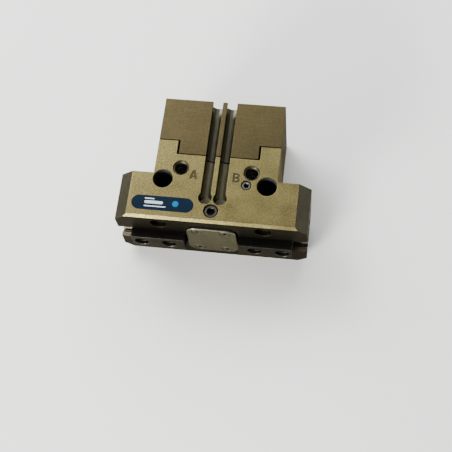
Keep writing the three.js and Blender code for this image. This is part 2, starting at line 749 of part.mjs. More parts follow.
place("housing", geometryOf(housing()), ANODISED);
place("cylinder_cover", geometryOf(cylinderCover()), ANODISED_BRUSHED);
place("centre_cover", geometryOf(centreCover()), BRIGHT_STEEL);
place("cylinder_seal", geometryOf(cylinderSeal()), RUBBER);
place("rod_seal", geometryOf(rodSeal()), RUBBER);
place("piston", geometryOf(piston()), BRIGHT_STEEL);
place("piston_seal", geometryOf(pistonSeal()), RUBBER);
place("wedge_hook", geometryOf(wedgeHook()), JAW_STEEL);
place("hook_screw", geometryOf(hookScrew()), BLACK_STEEL);
place("base_jaw_right", geometryOf(baseJaw()), JAW_STEEL);
place("base_jaw_left", geometryOf(mirrorX(baseJaw())), JAW_STEEL);
place("name_plate", geometryOf(namePlate()), LABEL_BLUE);
place(
  "purge_port_plug",
  geometryOf(frontSetScrew([0, PURGE_Y], PURGE_R - 0.05, THICK - 5.5, THICK - 0.5, 2.5)),
  BLACK_STEEL,
);
place(
  "passage_plug",
  geometryOf(frontSetScrew([LOCK_X, LOCK_Y], LOCK_R - 0.05, THICK - 4, THICK - 0.3, 1.5)),
  BRIGHT_STEEL,
);

for (const [side, name] of [
  [-1, "left"],
  [1, "right"],
]) {
  place(`closing_spring_${name}`, closingSpring(), SPRING_STEEL, side * SPRING_X);
  place(`piston_magnet_${name}`, geometryOf(pistonMagnet(side * SLOT_X)), BRIGHT_STEEL);
  place(`dowel_pin_${name}`, geometryOf(dowelPin(side * CLAMP_X)), BRIGHT_STEEL);
  place(`base_port_plug_${name}`, geometryOf(basePortPlug(side * BASE_PORT_X)), BLACK_STEEL);
  for (const [up, end] of [
    [1, "front"],
    [-1, "back"],
  ]) {
    const plateZ = MID_Z + up * PLATE_SCREW_DZ;
    const clampZ = MID_Z + up * CLAMP_DZ;
    const plateX = side * PLATE_SCREW_X;
    place(`centre_cover_screw_${end}_${name}`, geometryOf(plateScrew(plateX, plateZ)), BLACK_STEEL);
    place(`clamp_screw_${end}_${name}`, geometryOf(clampScrew(side * CLAMP_X, clampZ)), BLACK_STEEL);
  }
}

export default gripper;
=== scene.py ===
"""Looks of a small two-finger parallel gripper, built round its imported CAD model.

Shapes are made in millimetres in the row frame and scaled to metres when they are done. Depths called y
are counted from the jaw side of the housing towards the base, as in the CAD source.
"""

import math

import bmesh
import bpy
from mathutils import Matrix, Vector


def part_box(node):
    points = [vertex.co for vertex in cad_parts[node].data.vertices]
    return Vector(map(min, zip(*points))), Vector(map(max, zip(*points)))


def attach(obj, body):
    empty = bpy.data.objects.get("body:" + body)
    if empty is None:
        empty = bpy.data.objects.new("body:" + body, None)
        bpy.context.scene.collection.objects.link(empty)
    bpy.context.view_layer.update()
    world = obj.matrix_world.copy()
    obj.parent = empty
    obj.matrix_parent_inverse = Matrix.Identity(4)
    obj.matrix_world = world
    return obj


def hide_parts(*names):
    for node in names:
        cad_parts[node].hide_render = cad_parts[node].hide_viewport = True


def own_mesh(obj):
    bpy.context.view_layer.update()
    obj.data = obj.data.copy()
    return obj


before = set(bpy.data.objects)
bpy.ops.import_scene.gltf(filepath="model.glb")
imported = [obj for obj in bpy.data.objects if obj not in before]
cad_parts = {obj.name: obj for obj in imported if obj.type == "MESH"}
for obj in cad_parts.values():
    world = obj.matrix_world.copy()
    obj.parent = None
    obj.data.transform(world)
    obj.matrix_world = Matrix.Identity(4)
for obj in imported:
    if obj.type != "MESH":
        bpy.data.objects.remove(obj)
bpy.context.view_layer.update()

MM = 0.001


def box_mm(node):
    low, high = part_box(node)
    return low / MM, high / MM


# -------- sizes, from the frame

HOUSING_LOW, HOUSING_HIGH = box_mm("housing")
COVER_LOW, COVER_HIGH = box_mm("cylinder_cover")
PLATE_LOW, PLATE_HIGH = box_mm("centre_cover")
JAW_LOW, JAW_HIGH = box_mm("base_jaw_right")
LABEL_LOW, LABEL_HIGH = box_mm("name_plate")
PURGE_LOW, PURGE_HIGH = box_mm("purge_port_plug")
PASSAGE_LOW, PASSAGE_HIGH = box_mm("passage_plug")

JAW_SIDE = HOUSING_LOW.y
THICK = HOUSING_HIGH.z
MID_Z = THICK / 2
HEAD_HALF = HOUSING_HIGH.x
BODY_HALF = COVER_HIGH.x
EAR_Y = HOUSING_HIGH.y - JAW_SIDE
BASE_Y = COVER_HIGH.y - JAW_SIDE

# -------- sizes, mostly as in the CAD source

HEAD_LENGTH = 17.4
END_BEVEL_X = 4.4
END_BEVEL_Z = 3.8
EDGE_CHAMFER = 1.0
TONGUE_HALF = 14.6
TONGUE_GAP = 0.35
SEAM_GAP = 0.1
SEAM_Y = COVER_LOW.y - JAW_SIDE - SEAM_GAP
SEAM_RELIEF = 0.12  # set back from both sides of the seam, so that it shows as a fine dark line

MOUTH_HALF = 4.3
TOOTH_TIP = 4.35
TOOTH_VALLEY = 5.6
TOOTH_START = 1.5
TOOTH_PITCH = 2.5
TOOTH_COUNT = 4
TOOTH_FLANK = 0.38  # share of the pitch that one slanting side takes
TOOTH_FLAT = 0.12  # share of the pitch that the bottom of a valley takes
CHANNEL_FLOOR = 11.4
JAW_PLAY = 0.2

POCKET_HALF = 11.2
POCKET_HALF_Z = 4.7
POCKET_FLOOR = 16.0
BORE_FLOOR = 20.4
BORE_END = 42.0
BORE_HALF_X = 12.0
BORE_HALF_Z = 8.2
ROD_HOLE_R = 3.1

SLOT_X = 2.62
SLOT_START = 9.15
SLOT_MOUTH_HALF = 1.78
SLOT_R = 2.4
SLOT_DEPTH = 5.0
SLOT_FLOOR_R = 0.35
SLOT_STEPS = 28  # straight pieces in the round bottom

CROSS_X = 18.47
CROSS_Y = 15.3
CROSS_R = 2.15
CROSS_HEAD_R = 3.45
CROSS_HEAD_DEPTH = 18.0
CROSS_LEAD = 0.18
SLEEVE_R = 3.0
SLEEVE_DEPTH = 2.4
SLEEVE_CHAMFER = 0.2
SMALL_CHAMFER = 0.15  # on the accessory holes and the finger holes

PORT_X = 12.6
PORT_Y = 20.06
PORT_R = 2.5
PORT_SINK_R = 2.9
PORT_DEPTH = 5.2
PORT_SINK_DEPTH = 0.35
PORT_SINK_LAND = 0.05
PORT_FEED_R = 0.9  # the small hole in the floor of a port
PORT_FEED_DEPTH = 1.2
BASE_PORT_Z = 26.4
BASE_PORT_X = 11.6
BASE_PORT_R = 1.5
BASE_PORT_DEPTH = 4.0
BASE_PORT_SEAT_R = 2.4
BASE_PORT_SEAT_DEPTH = 0.8
PLUG_PLAY = 0.05
PLUG_LEAD = 0.22
PLUG_CLEAR = 0.2  # from a plug down to the cone at the bottom of its hole
PLUG_CONE = 0.3

ACCESSORY_X = 18.5
ACCESSORY_DZ = 9.8
ACCESSORY_R = 2.0
ACCESSORY_DEPTH = 9.0
ACCESSORY_SEAT = 2.0

PLATE_GAP = 0.3
PLATE_CORNER = 4.0
PLATE_SCREW_X = 5.0
PLATE_SCREW_DZ = 7.0
PLATE_HOLE_R = 1.1
PLATE_SINK_R = 2.0
PLATE_SINK_DEPTH = 1.0
PLATE_SCREW_R = 0.95
PLATE_SCREW_HEAD_R = 1.8
PLATE_SOCKET = 1.3
PLATE_SOCKET_DEPTH = 0.9

CLAMP_X = 18.3
CLAMP_DZ = 10.2
CLAMP_HEAD_R = 2.75
CLAMP_SEAT_R = 3.0
CLAMP_SEAT_DEPTH = 3.3
CLAMP_SEAT_CHAMFER = 0.25
CLAMP_HEAD = 3.0
CLAMP_SCREW_R = 1.5
CLAMP_SOCKET = 2.5
CLAMP_SOCKET_DEPTH = 1.6

SCREW_END_CHAMFER = 0.4
SCREW_TOP_CHAMFER = 0.3

BASE_THREAD_X = 17.6
BASE_THREAD_R = 1.7
BASE_THREAD_DEPTH = 10.0

JAW_INNER = 9.7
JAW_OVER_WEDGE = 1.55
WEDGE_SLOPE = 0.8
WEDGE_HALF = 10.2
WEDGE_TOP = 1.7
WEDGE_PLAY = 0.15
RAIL_NECK = 1.5
RAIL_HEAD = 1.7
RAIL_NECK_HALF_Z = 1.5
RAIL_HEAD_HALF_Z = 3.0
FINGER_X = (15.4, 25.4)
FINGER_R = 1.25
FINGER_DEPTH = 7.4
FINGER_SLEEVE_R = 2.5
FINGER_SLEEVE_DEPTH = 1.5

SPRING_WIRE_R = 0.45
SPRING_TURNS = 6.5
SPRING_CLOSED = 1.0  # turns at each end that lie against each other
SPRING_CLOSED_PITCH = 2.06 * SPRING_WIRE_R
SPRING_STEPS = 28  # rings of the wire in each turn
SPRING_SIDES = 12

# -------- sizes that only the looks have

THREAD_TOP = 0.5  # from the front face down to the start of the thread
THREAD_PITCH = 0.8
THREAD_MINOR_R = 2.25
THREAD_BACK = 0.03  # how far the outside of the thread piece lies in the wall of the port
THREAD_ROOT = 0.02  # how far the bottoms of its grooves stay inside that wall
THREAD_FIRST_CREST = 0.25  # shares of the pitch, down from where a turn starts
THREAD_CREST = 0.1
THREAD_CREST_END = 0.35
THREAD_ROOT_START = 0.65
THREAD_ROOT_END = 0.8

LETTER_DEPTH = 0.2
LETTER_Y = 16.0  # foot of the port letters
LETTER_A_LEFT = -9.2
LETTER_B_LEFT = 6.2

LABEL_ROOM = 0.02  # the film stays this far under the top of its box, as room for the print
PRINT_SUNK = 0.01
PRINT_RAISED = 0.012

HOUSING_EDGE = 0.09  # how wide the sharp edges of each piece are rounded
COVER_EDGE = 0.08
JAW_EDGE = 0.12
PLATE_RIM = 0.5
PLATE_EDGE = 0.06
PLATE_SCREW_EDGE = 0.04
CLAMP_SCREW_EDGE = 0.05
SET_SCREW_EDGE = 0.03
LABEL_EDGE = 0.05
ROUNDED_ABOVE = math.radians(30)  # edges that turn more than this are rounded
SHARP_ABOVE = math.radians(50)  # edges that turn more than this stay sharp in the shading
FACING = 0.9  # least component of a normal that counts as along an axis

OVER = 1.0  # how far a cutter runs past the faces that it opens
FINE = 64  # segments of a hole that is seen close to
ROUND = 48
SMALL = 32


# -------- mesh helpers, in millimetres


def mesh_object(name, vertices, faces):
    mesh = bpy.data.meshes.new(name)
    mesh.from_pydata([tuple(v) for v in vertices], [], faces)
    shape = bmesh.new()
    shape.from_mesh(mesh)
    bmesh.ops.recalc_face_normals(shape, faces=shape.faces)
    shape.to_mesh(mesh)
    shape.free()
    piece = bpy.data.objects.new(name, mesh)
    bpy.context.scene.collection.objects.link(piece)
    return piece


def on_axis(axis, along, u, v):
    """A point from its place along an axis and its two others, in x, y, z order."""
    if axis == "x":
        return (along, u, v)
    if axis == "y":
        return (u, along, v)
    return (u, v, along)


def prism(outline, axis, low, high, name="prism"):
    """An outline in the two axes that aren't axis, pulled from low to high along it."""
    count = len(outline)
    bottom = [on_axis(axis, low, u, v) for u, v in outline]
    top = [on_axis(axis, high, u, v) for u, v in outline]
    sides = [(i, (i + 1) % count, (i + 1) % count + count, i + count) for i in range(count)]
    caps = [tuple(range(count)), tuple(range(count, 2 * count))]
    return mesh_object(name, bottom + top, sides + caps)


def block(x, y, z, name="block"):
    outline = [(x[0], y[0]), (x[1], y[0]), (x[1], y[1]), (x[0], y[1])]
    return prism(outline, "z", z[0], z[1], name)


def lathe(axis, centre, profile, segments=FINE, ring=False, name="lathe"):
    """Turns (place along the axis, radius) pairs round the axis; a ring's profile closes on itself."""
    u0, v0 = [c for c, letter in zip(centre, "xyz") if letter != axis]
    vertices = []
    for along, radius in profile:
        for k in range(segments):
            turn = 2 * math.pi * k / segments
            vertices.append(on_axis(axis, along, u0 + radius * math.cos(turn), v0 + radius * math.sin(turn)))
    rows = len(profile)
    faces = []
    for row in range(rows if ring else rows - 1):
        a = row * segments
        b = (row + 1) % rows * segments
        for k in range(segments):
            k1 = (k + 1) % segments
            faces.append((a + k, a + k1, b + k1, b + k))
    if not ring:
        faces += [tuple(range(segments)), tuple(range((rows - 1) * segments, rows * segments))]
    return mesh_object(name, vertices, faces)


def bar(axis, centre, low, high, radius, segments=FINE, name="bar"):
    return lathe(axis, centre, [(low, radius), (high, radius)], segments, name=name)


def hexagon(axis, centre, low, high, across_flats):
    return bar(axis, centre, low, high, across_flats / math.sqrt(3), 6)


def rounded_rectangle(half_u, half_v, radius, centre, steps=10):
    """Outline with round corners; radius may be as large as the smaller half."""
    points = []
    corners = ((1, 1, 0), (-1, 1, 90), (-1, -1, 180), (1, -1, 270))
    for side_u, side_v, start in corners:
        for k in range(steps + 1):
            turn = math.radians(start + 90 * k / steps)
            u = side_u * (half_u - radius) + radius * math.cos(turn)
            v = side_v * (half_v - radius) + radius * math.sin(turn)
            points.append((centre[0] + u, centre[1] + v))
    return points


def remove(*objects):
    for each in objects:
        bpy.data.objects.remove(each)


def freeze(piece):
    """Applies the piece's modifiers to its mesh."""
    bpy.context.view_layer.update()
    evaluated = piece.evaluated_get(bpy.context.evaluated_depsgraph_get())
    mesh = bpy.data.meshes.new_from_object(evaluated)
    piece.modifiers.clear()
    piece.data = mesh


def boolean(piece, tools, operation="DIFFERENCE"):
    for tool in tools:
        modifier = piece.modifiers.new("boolean", "BOOLEAN")
        modifier.operation = operation
        modifier.object = tool
        modifier.solver = "EXACT"
        modifier.material_mode = "TRANSFER"
    freeze(piece)
    remove(*tools)
    return piece


def machined(piece, material):
    """Gives a piece its material; the walls of a cut take the material of its cutter."""
    piece.data.materials.append(material)
    return piece


def mirrored(make):
    """Both copies of what make(side) makes, for side 1 and -1."""
    return [make(1), make(-1)]


def clean(piece):
    """Joins vertices at one place, and faces that lie in one plane."""
    shape = bmesh.new()
    shape.from_mesh(piece.data)
    bmesh.ops.remove_doubles(shape, verts=shape.verts, dist=1e-4)
    bmesh.ops.dissolve_limit(
        shape, angle_limit=math.radians(0.4), verts=shape.verts, edges=shape.edges, delimit={"MATERIAL"}
    )
    shape.to_mesh(piece.data)
    shape.free()


def soften(piece, width, segments=2):
    """Rounds the sharp edges."""
    clean(piece)
    bevel = piece.modifiers.new("edges", "BEVEL")
    bevel.width = width
    bevel.segments = segments
    bevel.limit_method = "ANGLE"
    bevel.angle_limit = ROUNDED_ABOVE
    bevel.use_clamp_overlap = False
    bevel.miter_outer = "MITER_ARC"
    freeze(piece)


def finish(piece, material, body, *nodes):
    """Scales a piece to metres and gives it its body and CAD nodes, and a material if it has none."""
    piece.data.transform(Matrix.Scale(MM, 4))
    piece.data.shade_smooth()
    piece.data.set_sharp_from_angle(angle=SHARP_ABOVE)
    normals = piece.modifiers.new("normals", "WEIGHTED_NORMAL")
    normals.keep_sharp = True
    normals.weight = 100
    freeze(piece)
    if not piece.data.materials:
        piece.data.materials.append(material)
    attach(piece, body)
    if nodes:
        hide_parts(*nodes)
    return piece


# -------- material helpers


class Nodes:
    """A material's node tree, with short ways to add and link nodes."""

    def __init__(self, name):
        self.material = bpy.data.materials.new(name)
        self.material.use_nodes = True
        self.tree = self.material.node_tree
        self.shader = self.tree.nodes["Principled BSDF"]
        self.place = self.add("ShaderNodeTexCoord").outputs["Object"]

    def add(self, kind, **settings):
        node = self.tree.nodes.new(kind)
        for key, value in settings.items():
            setattr(node, key, value)
        return node

    def link(self, output, target):
        self.tree.links.new(output, target)

    def stretched(self, scale):
        """The object's coordinates, scaled differently along each axis."""
        mapping = self.add("ShaderNodeMapping")
        mapping.inputs["Scale"].default_value = scale
        self.link(self.place, mapping.inputs["Vector"])
        return mapping.outputs["Vector"]

    def noise(self, scale, detail, roughness=0.55, at=None):
        node = self.add("ShaderNodeTexNoise")
        node.inputs["Scale"].default_value = scale
        node.inputs["Detail"].default_value = detail
        node.inputs["Roughness"].default_value = roughness
        self.link(at or self.place, node.inputs["Vector"])
        return node.outputs["Fac"]

    def spread(self, value, low, high, to_low=0.0, to_high=1.0):
        """Maps low..high to to_low..to_high, clamped."""
        node = self.add("ShaderNodeMapRange")
        limits = {"From Min": low, "From Max": high, "To Min": to_low, "To Max": to_high}
        for socket, number in limits.items():
            node.inputs[socket].default_value = number
        self.link(value, node.inputs["Value"])
        return node.outputs["Result"]

    def maths(self, operation, a, b):
        node = self.add("ShaderNodeMath", operation=operation)
        for socket, value in zip(node.inputs, (a, b)):
            if isinstance(value, (int, float)):
                socket.default_value = value
            else:
                self.link(value, socket)
        return node.outputs["Value"]

    def mix(self, share, a, b):
        """Mixes two colours; each is a tuple or an output."""
        node = self.add("ShaderNodeMix", data_type="RGBA")
        colour_sockets = [s for s in node.inputs if s.type == "RGBA"]
        factor = node.inputs[0]
        for socket, value in ((factor, share), (colour_sockets[0], a), (colour_sockets[1], b)):
            if isinstance(value, (int, float)):
                socket.default_value = value
            elif isinstance(value, tuple):
                socket.default_value = (*value, 1.0)
            else:
                self.link(value, socket)
        return [s for s in node.outputs if s.type == "RGBA"][0]

    def over(self, colour, mask, strength, other):
        """A colour with another one over it where the mask is 1, as strongly as strength says."""
        return self.mix(self.maths("MULTIPLY", mask, strength), colour, other)

    def edges(self, radius):
        """1 on an edge and 0 on a flat, from how far the normal turns within the radius."""
        bevel = self.add("ShaderNodeBevel", samples=4)
        bevel.inputs["Radius"].default_value = radius
        geometry = self.add("ShaderNodeNewGeometry")
        turn = self.add("ShaderNodeVectorMath", operation="DOT_PRODUCT")
        self.link(bevel.outputs["Normal"], turn.inputs[0])
        self.link(geometry.outputs["Normal"], turn.inputs[1])
        return self.spread(self.maths("SUBTRACT", 1.0, turn.outputs["Value"]), 0.02, 0.25)

    def bump(self, height, distance):
        node = self.add("ShaderNodeBump")
        node.inputs["Strength"].default_value = 1.0
        node.inputs["Distance"].default_value = distance
        self.link(height, node.inputs["Height"])
        return node.outputs["Normal"]

    def done(self, colour, roughness, normal=None, **constants):
        """Links the shader and returns the material; constants are other sockets, with _ for a space."""
        self.link(colour, self.shader.inputs["Base Color"])
        self.link(roughness, self.shader.inputs["Roughness"])
        if normal is not None:
            self.link(normal, self.shader.inputs["Normal"])
        for socket, value in constants.items():
            self.shader.inputs[socket.replace("_", " ")].default_value = value
        return self.material


# -------- materials


def scaled(colour, factor):
    """A colour made darker or lighter."""
    return tuple(min(1.0, channel * factor) for channel in colour)


def anodised(name, light, dark, edge_wear_and_painted_light, roughness, contrast=1.0):
    """Hard anodised aluminium over a bead-blasted surface: cloudy and grainy, with painted glints in the
    grain and an edge colour for rubbed edges and painted light at the edges.
    """
    n = Nodes(name)
    cloud = n.spread(n.noise(110, 4, 0.6), 0.3, 0.7)
    colour = n.mix(cloud, dark, light)
    speck = n.spread(n.noise(1500, 3, 0.75), 0.38, 0.62)
    colour = n.over(colour, speck, 0.82 * contrast, scaled(light, 0.42))
    # painted glints: bright spots in the colour that stand for the sparkle of the grain
    painted_glint = n.spread(n.noise(2300, 2, 0.6), 0.55, 0.66)
    colour = n.over(colour, painted_glint, 0.6 * contrast, scaled(light, 1.75))
    # edge colour: rubbed edges, with a painted highlight on the housing's edges and painted shade on the
    # cover's
    edge = n.maths("MULTIPLY", n.edges(0.00016), n.spread(n.noise(700, 3), 0.38, 0.62, 0.05, 0.6))
    colour = n.mix(edge, colour, edge_wear_and_painted_light)
    patch = n.spread(n.noise(160, 3), 0.3, 0.7, -0.05, 0.05)
    rough = n.maths("ADD", patch, n.spread(speck, 0, 1, roughness - 0.06, roughness + 0.06))
    relief = n.maths("ADD", n.noise(2600, 2, 0.6), n.maths("MULTIPLY", n.noise(1500, 3, 0.75), 0.8))
    normal = n.bump(relief, 0.000016 * contrast)
    return n.done(colour, rough, normal, Metallic=0.9, Specular_Tint=(0.45, 0.43, 0.4, 1.0))


def milled(name, light, dark, edge_wear_and_painted_light, roughness, contrast=1.0):
    """Anodised aluminium with fine milling lines along x, in short streaks, and bright specks that are
    painted glints.
    """
    n = Nodes(name)
    fine = n.noise(1.0, 3, 0.7, at=n.stretched((110, 2000, 2000)))
    cross = n.noise(1.0, 2, 0.6, at=n.stretched((1500, 300, 300)))
    cloud = n.noise(140, 3, 0.6)
    colour = n.mix(n.spread(cloud, 0.3, 0.7), dark, light)
    colour = n.over(colour, n.spread(fine, 0.36, 0.64), 0.45 * contrast, scaled(light, 0.5))
    colour = n.over(colour, n.spread(cross, 0.5, 0.68), 0.25 * contrast, scaled(dark, 0.6))
    # painted glints: bright specks in the colour that stand for sparkle
    speck = n.spread(n.noise(1500, 2, 0.6), 0.5, 0.68)
    colour = n.over(colour, speck, 0.4 * contrast, scaled(light, 1.5))
    # edge colour: rubbed edges; on the cover it is a darker colour, painted edge shade
    edge = n.maths("MULTIPLY", n.edges(0.0003), n.spread(n.noise(700, 3), 0.38, 0.62, 0.2, 0.9))
    colour = n.mix(edge, colour, edge_wear_and_painted_light)
    rough = n.spread(fine, 0.3, 0.7, roughness - 0.06, roughness + 0.08)
    relief = n.maths("ADD", fine, n.maths("MULTIPLY", cross, 0.5))
    normal = n.bump(relief, 0.000012 * contrast)
    return n.done(colour, rough, normal, Metallic=0.9, Specular_Tint=(0.4, 0.38, 0.35, 1.0))


def bored(name, light, dark, roughness, lines, relief=0.000003):
    """Anodised aluminium in a hole or a slot: smooth, with faint tool marks and a little staining."""
    n = Nodes(name)
    marks = n.noise(1.0, 3, 0.6, at=n.stretched(lines))
    colour = n.mix(n.spread(n.noise(260, 4, 0.6), 0.3, 0.7), dark, light)
    colour = n.over(colour, n.spread(marks, 0.4, 0.65), 0.3, scaled(dark, 0.55))
    rough = n.spread(marks, 0.3, 0.7, roughness - 0.06, roughness + 0.08)
    return n.done(colour, rough, n.bump(marks, relief), Metallic=0.95, Specular_Tint=(0.45, 0.43, 0.38, 1.0))


def steel(name, light, dark, roughness, lines, edge_wear_and_sheen=None):
    """Machined metal: grinding or turning marks, a little staining and, with an edge colour, brighter edges:
    rubbed edges, and on the plate's rim a painted highlight.
    """
    n = Nodes(name)
    marks = n.noise(1.0, 3, 0.6, at=n.stretched(lines))
    stain = n.spread(n.noise(220, 4, 0.6), 0.3, 0.7)
    colour = n.mix(stain, dark, light)
    colour = n.over(colour, n.spread(marks, 0.35, 0.65), 0.3, scaled(dark, 0.6))
    if edge_wear_and_sheen:
        # brighter edges: rubbed edges, and on the plate's rim a painted highlight
        edge = n.maths("MULTIPLY", n.edges(0.00022), n.spread(n.noise(900, 3), 0.35, 0.6, 0.3, 1.0))
        colour = n.mix(edge, colour, edge_wear_and_sheen)
    rough = n.spread(marks, 0.3, 0.7, roughness - 0.07, roughness + 0.09)
    return n.done(colour, rough, n.bump(marks, 0.000004), Metallic=1.0, Specular_Tint=(0.45, 0.44, 0.4, 1.0))


def rubber(name):
    n = Nodes(name)
    colour = n.mix(n.spread(n.noise(900, 3), 0.3, 0.7), (0.012, 0.012, 0.012), (0.028, 0.028, 0.027))
    rough = n.spread(n.noise(500, 3), 0.3, 0.7, 0.55, 0.75)
    return n.done(colour, rough, n.bump(n.noise(2400, 2), 0.00001))


def film(name, base, roughness):
    """Printed plastic film: faint mottling, smears in the gloss and an orange-peel surface."""
    n = Nodes(name)
    colour = n.mix(n.spread(n.noise(260, 4), 0.3, 0.7), base, scaled(base, 1.35))
    rough = n.spread(n.noise(120, 4, 0.65), 0.35, 0.7, roughness - 0.02, roughness + 0.02)
    return n.done(colour, rough, n.bump(n.noise(1300, 2), 0.000003), Specular_IOR_Level=0.04)


HOUSING_LIGHT = (0.19, 0.159, 0.062)
HOUSING_DARK = (0.152, 0.127, 0.05)
# edge colour of the housing: rubbed edges, lightened further as a painted highlight
HOUSING_EDGE_WEAR_AND_SHEEN = (0.35, 0.305, 0.15)
# colours of the head's ends and bevels: milled, and darker than the top as painted shade
SIDE_LIGHT = (0.064, 0.06, 0.041)
SIDE_DARK = (0.05, 0.047, 0.032)
SIDE_WORN = (0.2, 0.18, 0.115)
COVER_LIGHT = (0.07, 0.0565, 0.0255)
COVER_DARK = (0.056, 0.045, 0.0205)
COVER_PAINTED_EDGE_SHADE = (0.043, 0.036, 0.018)  # painted shade: the cover's edges are a little darker than its faces

HOUSING = anodised("housing_anodised", HOUSING_LIGHT, HOUSING_DARK, HOUSING_EDGE_WEAR_AND_SHEEN, 0.37)
# the body's sides and the head's back: a duller, darker copy of the top's anodising, as painted shade
HOUSING_WALL = anodised("housing_wall", (0.14, 0.123, 0.063), (0.118, 0.104, 0.053), HOUSING_EDGE_WEAR_AND_SHEEN, 0.62, 0.5)
SIDE = milled("housing_milled_painted_shade", SIDE_LIGHT, SIDE_DARK, SIDE_WORN, 0.34, 0.45)
# the jaw side: milled, with a very dark base that is painted shade
FACE = milled(
    "jaw_side_milled_painted_shade", (0.028, 0.027, 0.018), (0.021, 0.02, 0.0135), (0.12, 0.108, 0.07), 0.36, 0.45
)
BORE = bored("bore_anodised", (0.12, 0.11, 0.075), (0.085, 0.078, 0.052), 0.42, (900, 900, 900))
SLOT = bored(
    "slot_anodised", (0.08, 0.077, 0.055), (0.059, 0.057, 0.041), 0.32, (1500, 30, 1500), 0.0000008
)
HEAD_SLOT = bored(
    "head_slot_anodised", (0.125, 0.116, 0.075), (0.09, 0.084, 0.054), 0.38, (1500, 30, 1500), 0.0000008
)
HOLE = bored("hole_anodised", (0.15, 0.15, 0.158), (0.11, 0.11, 0.116), 0.5, (900, 900, 300))
THREAD = bored("thread_anodised", (0.12, 0.112, 0.08), (0.085, 0.08, 0.056), 0.42, (400, 400, 900))
ENGRAVED = anodised(
    "engraved_anodised", (0.06, 0.05, 0.026), (0.045, 0.038, 0.02), (0.05, 0.042, 0.022), 0.6, 0.4
)
# painted shade: a near-black lining for the seam faces, the accessory holes and the plate's screw seats
RECESS = bored("painted_shade_recess", (0.035, 0.03, 0.02), (0.022, 0.019, 0.013), 0.5, (900, 900, 900))
COVER = milled("cover_milled", COVER_LIGHT, COVER_DARK, COVER_PAINTED_EDGE_SHADE, 0.36)
COVER_WALL = anodised("cover_wall", (0.068, 0.058, 0.031), (0.056, 0.048, 0.026), COVER_PAINTED_EDGE_SHADE, 0.62, 0.5)
# satin steel, its base darkened as painted shade and its edge colour raised as a painted highlight on the
# rim, besides rubbed edges
PLATE = steel(
    "plate_satin", (0.162, 0.154, 0.108), (0.124, 0.118, 0.082), 0.3, (60, 60, 1500), (0.75, 0.72, 0.6)
)
# dark steel, darkened further as painted shade on the jaw side, with lighter rubbed edges
JAW = steel(
    "jaw_dark", (0.055, 0.054, 0.047), (0.039, 0.038, 0.033), 0.34, (50, 2000, 2000), (0.24, 0.235, 0.21)
)
BLACK = steel(
    "screw_black", (0.06, 0.058, 0.055), (0.03, 0.03, 0.032), 0.36, (600, 600, 600), (0.26, 0.25, 0.23)
)
PURGE = steel(
    "plug_grey", (0.05, 0.049, 0.04), (0.037, 0.036, 0.03), 0.44, (700, 700, 500), (0.07, 0.068, 0.056)
)
BRIGHT = steel(
    "plug_bright", (0.115, 0.115, 0.103), (0.083, 0.083, 0.074), 0.42, (900, 900, 500), (0.15, 0.15, 0.134)
)
PISTON = steel(
    "piston_turned", (0.62, 0.62, 0.6), (0.48, 0.48, 0.46), 0.3, (90, 2400, 90), (0.8, 0.8, 0.78)
)
SPRING = steel("spring_wire", (0.4, 0.4, 0.41), (0.26, 0.26, 0.27), 0.3, (300, 2200, 300))
MAGNET = steel("magnet_nickel", (0.7, 0.69, 0.67), (0.55, 0.54, 0.52), 0.2, (300, 300, 300))
RUBBER = rubber("seal_nitrile")
FILM = film("label_navy", (0.0022, 0.0078, 0.0175), 0.4)
FILM_BLUE = film("label_blue", (0.004, 0.09, 0.2), 0.38)
FILM_PALE = film("label_pale", (0.42, 0.47, 0.52), 0.42)


# -------- shared outlines


def y_of(depth):
    """Row y of a depth from the jaw side."""
    return JAW_SIDE + depth


def arc(centre, radius, start, end, steps=10):
    """Points of an arc in degrees, ends included."""
    turns = [math.radians(start + (end - start) * k / steps) for k in range(steps + 1)]
    return [(centre[0] + radius * math.cos(turn), centre[1] + radius * math.sin(turn)) for turn in turns]


def toothed_outline(top, bottom, play):
    """(y, z) outline of the jaw channel, or of a jaw's section with some play."""
    side = [(top, MOUTH_HALF), (TOOTH_START, MOUTH_HALF)]
    flank = TOOTH_PITCH * TOOTH_FLANK
    flat = TOOTH_PITCH * TOOTH_FLAT
    for tooth in range(TOOTH_COUNT):
        start = TOOTH_START + tooth * TOOTH_PITCH
        side += [(start + flank, TOOTH_VALLEY), (start + flank + flat, TOOTH_VALLEY)]
        if tooth < TOOTH_COUNT - 1:
            side += [(start + 2 * flank + flat, TOOTH_TIP), (start + TOOTH_PITCH, TOOTH_TIP)]
    side[-1] = (bottom, TOOTH_VALLEY)
    upper = [(y_of(y), MID_Z + half - play) for y, half in side]
    lower = [(y_of(y), MID_Z - half + play) for y, half in reversed(side)]
    return upper + lower


def slot_tools(start, end, material):
    """Cutters of the two sensor slots: a mouth with straight sides over a round, wider bottom."""
    centre_z = THICK - SLOT_DEPTH + SLOT_R
    opening = math.acos(SLOT_MOUTH_HALF / SLOT_R)
    tools = []
    for x in (-SLOT_X, SLOT_X):
        outline = [(x + SLOT_MOUTH_HALF, THICK + OVER)]
        for k in range(SLOT_STEPS + 1):
            turn = opening - (math.pi + 2 * opening) * k / SLOT_STEPS
            outline.append((x + SLOT_R * math.cos(turn), centre_z + SLOT_R * math.sin(turn)))
        outline.append((x - SLOT_MOUTH_HALF, THICK + OVER))
        tools.append(machined(prism(outline, "y", y_of(start), y_of(end)), material))
    return tools


def piston_bore_tool(start, end):
    """Cutter of the oval bore that the piston runs in."""
    outline = rounded_rectangle(BORE_HALF_X, BORE_HALF_Z, BORE_HALF_Z, (0, MID_Z), 16)
    return prism(outline, "y", start, end)


def lead_in(edge, radius, depth):
    """Profile points of a hole's mouth, chamfered by depth at the face."""
    return [(edge - depth, radius), (edge, radius + depth), (edge + OVER, radius + depth)]


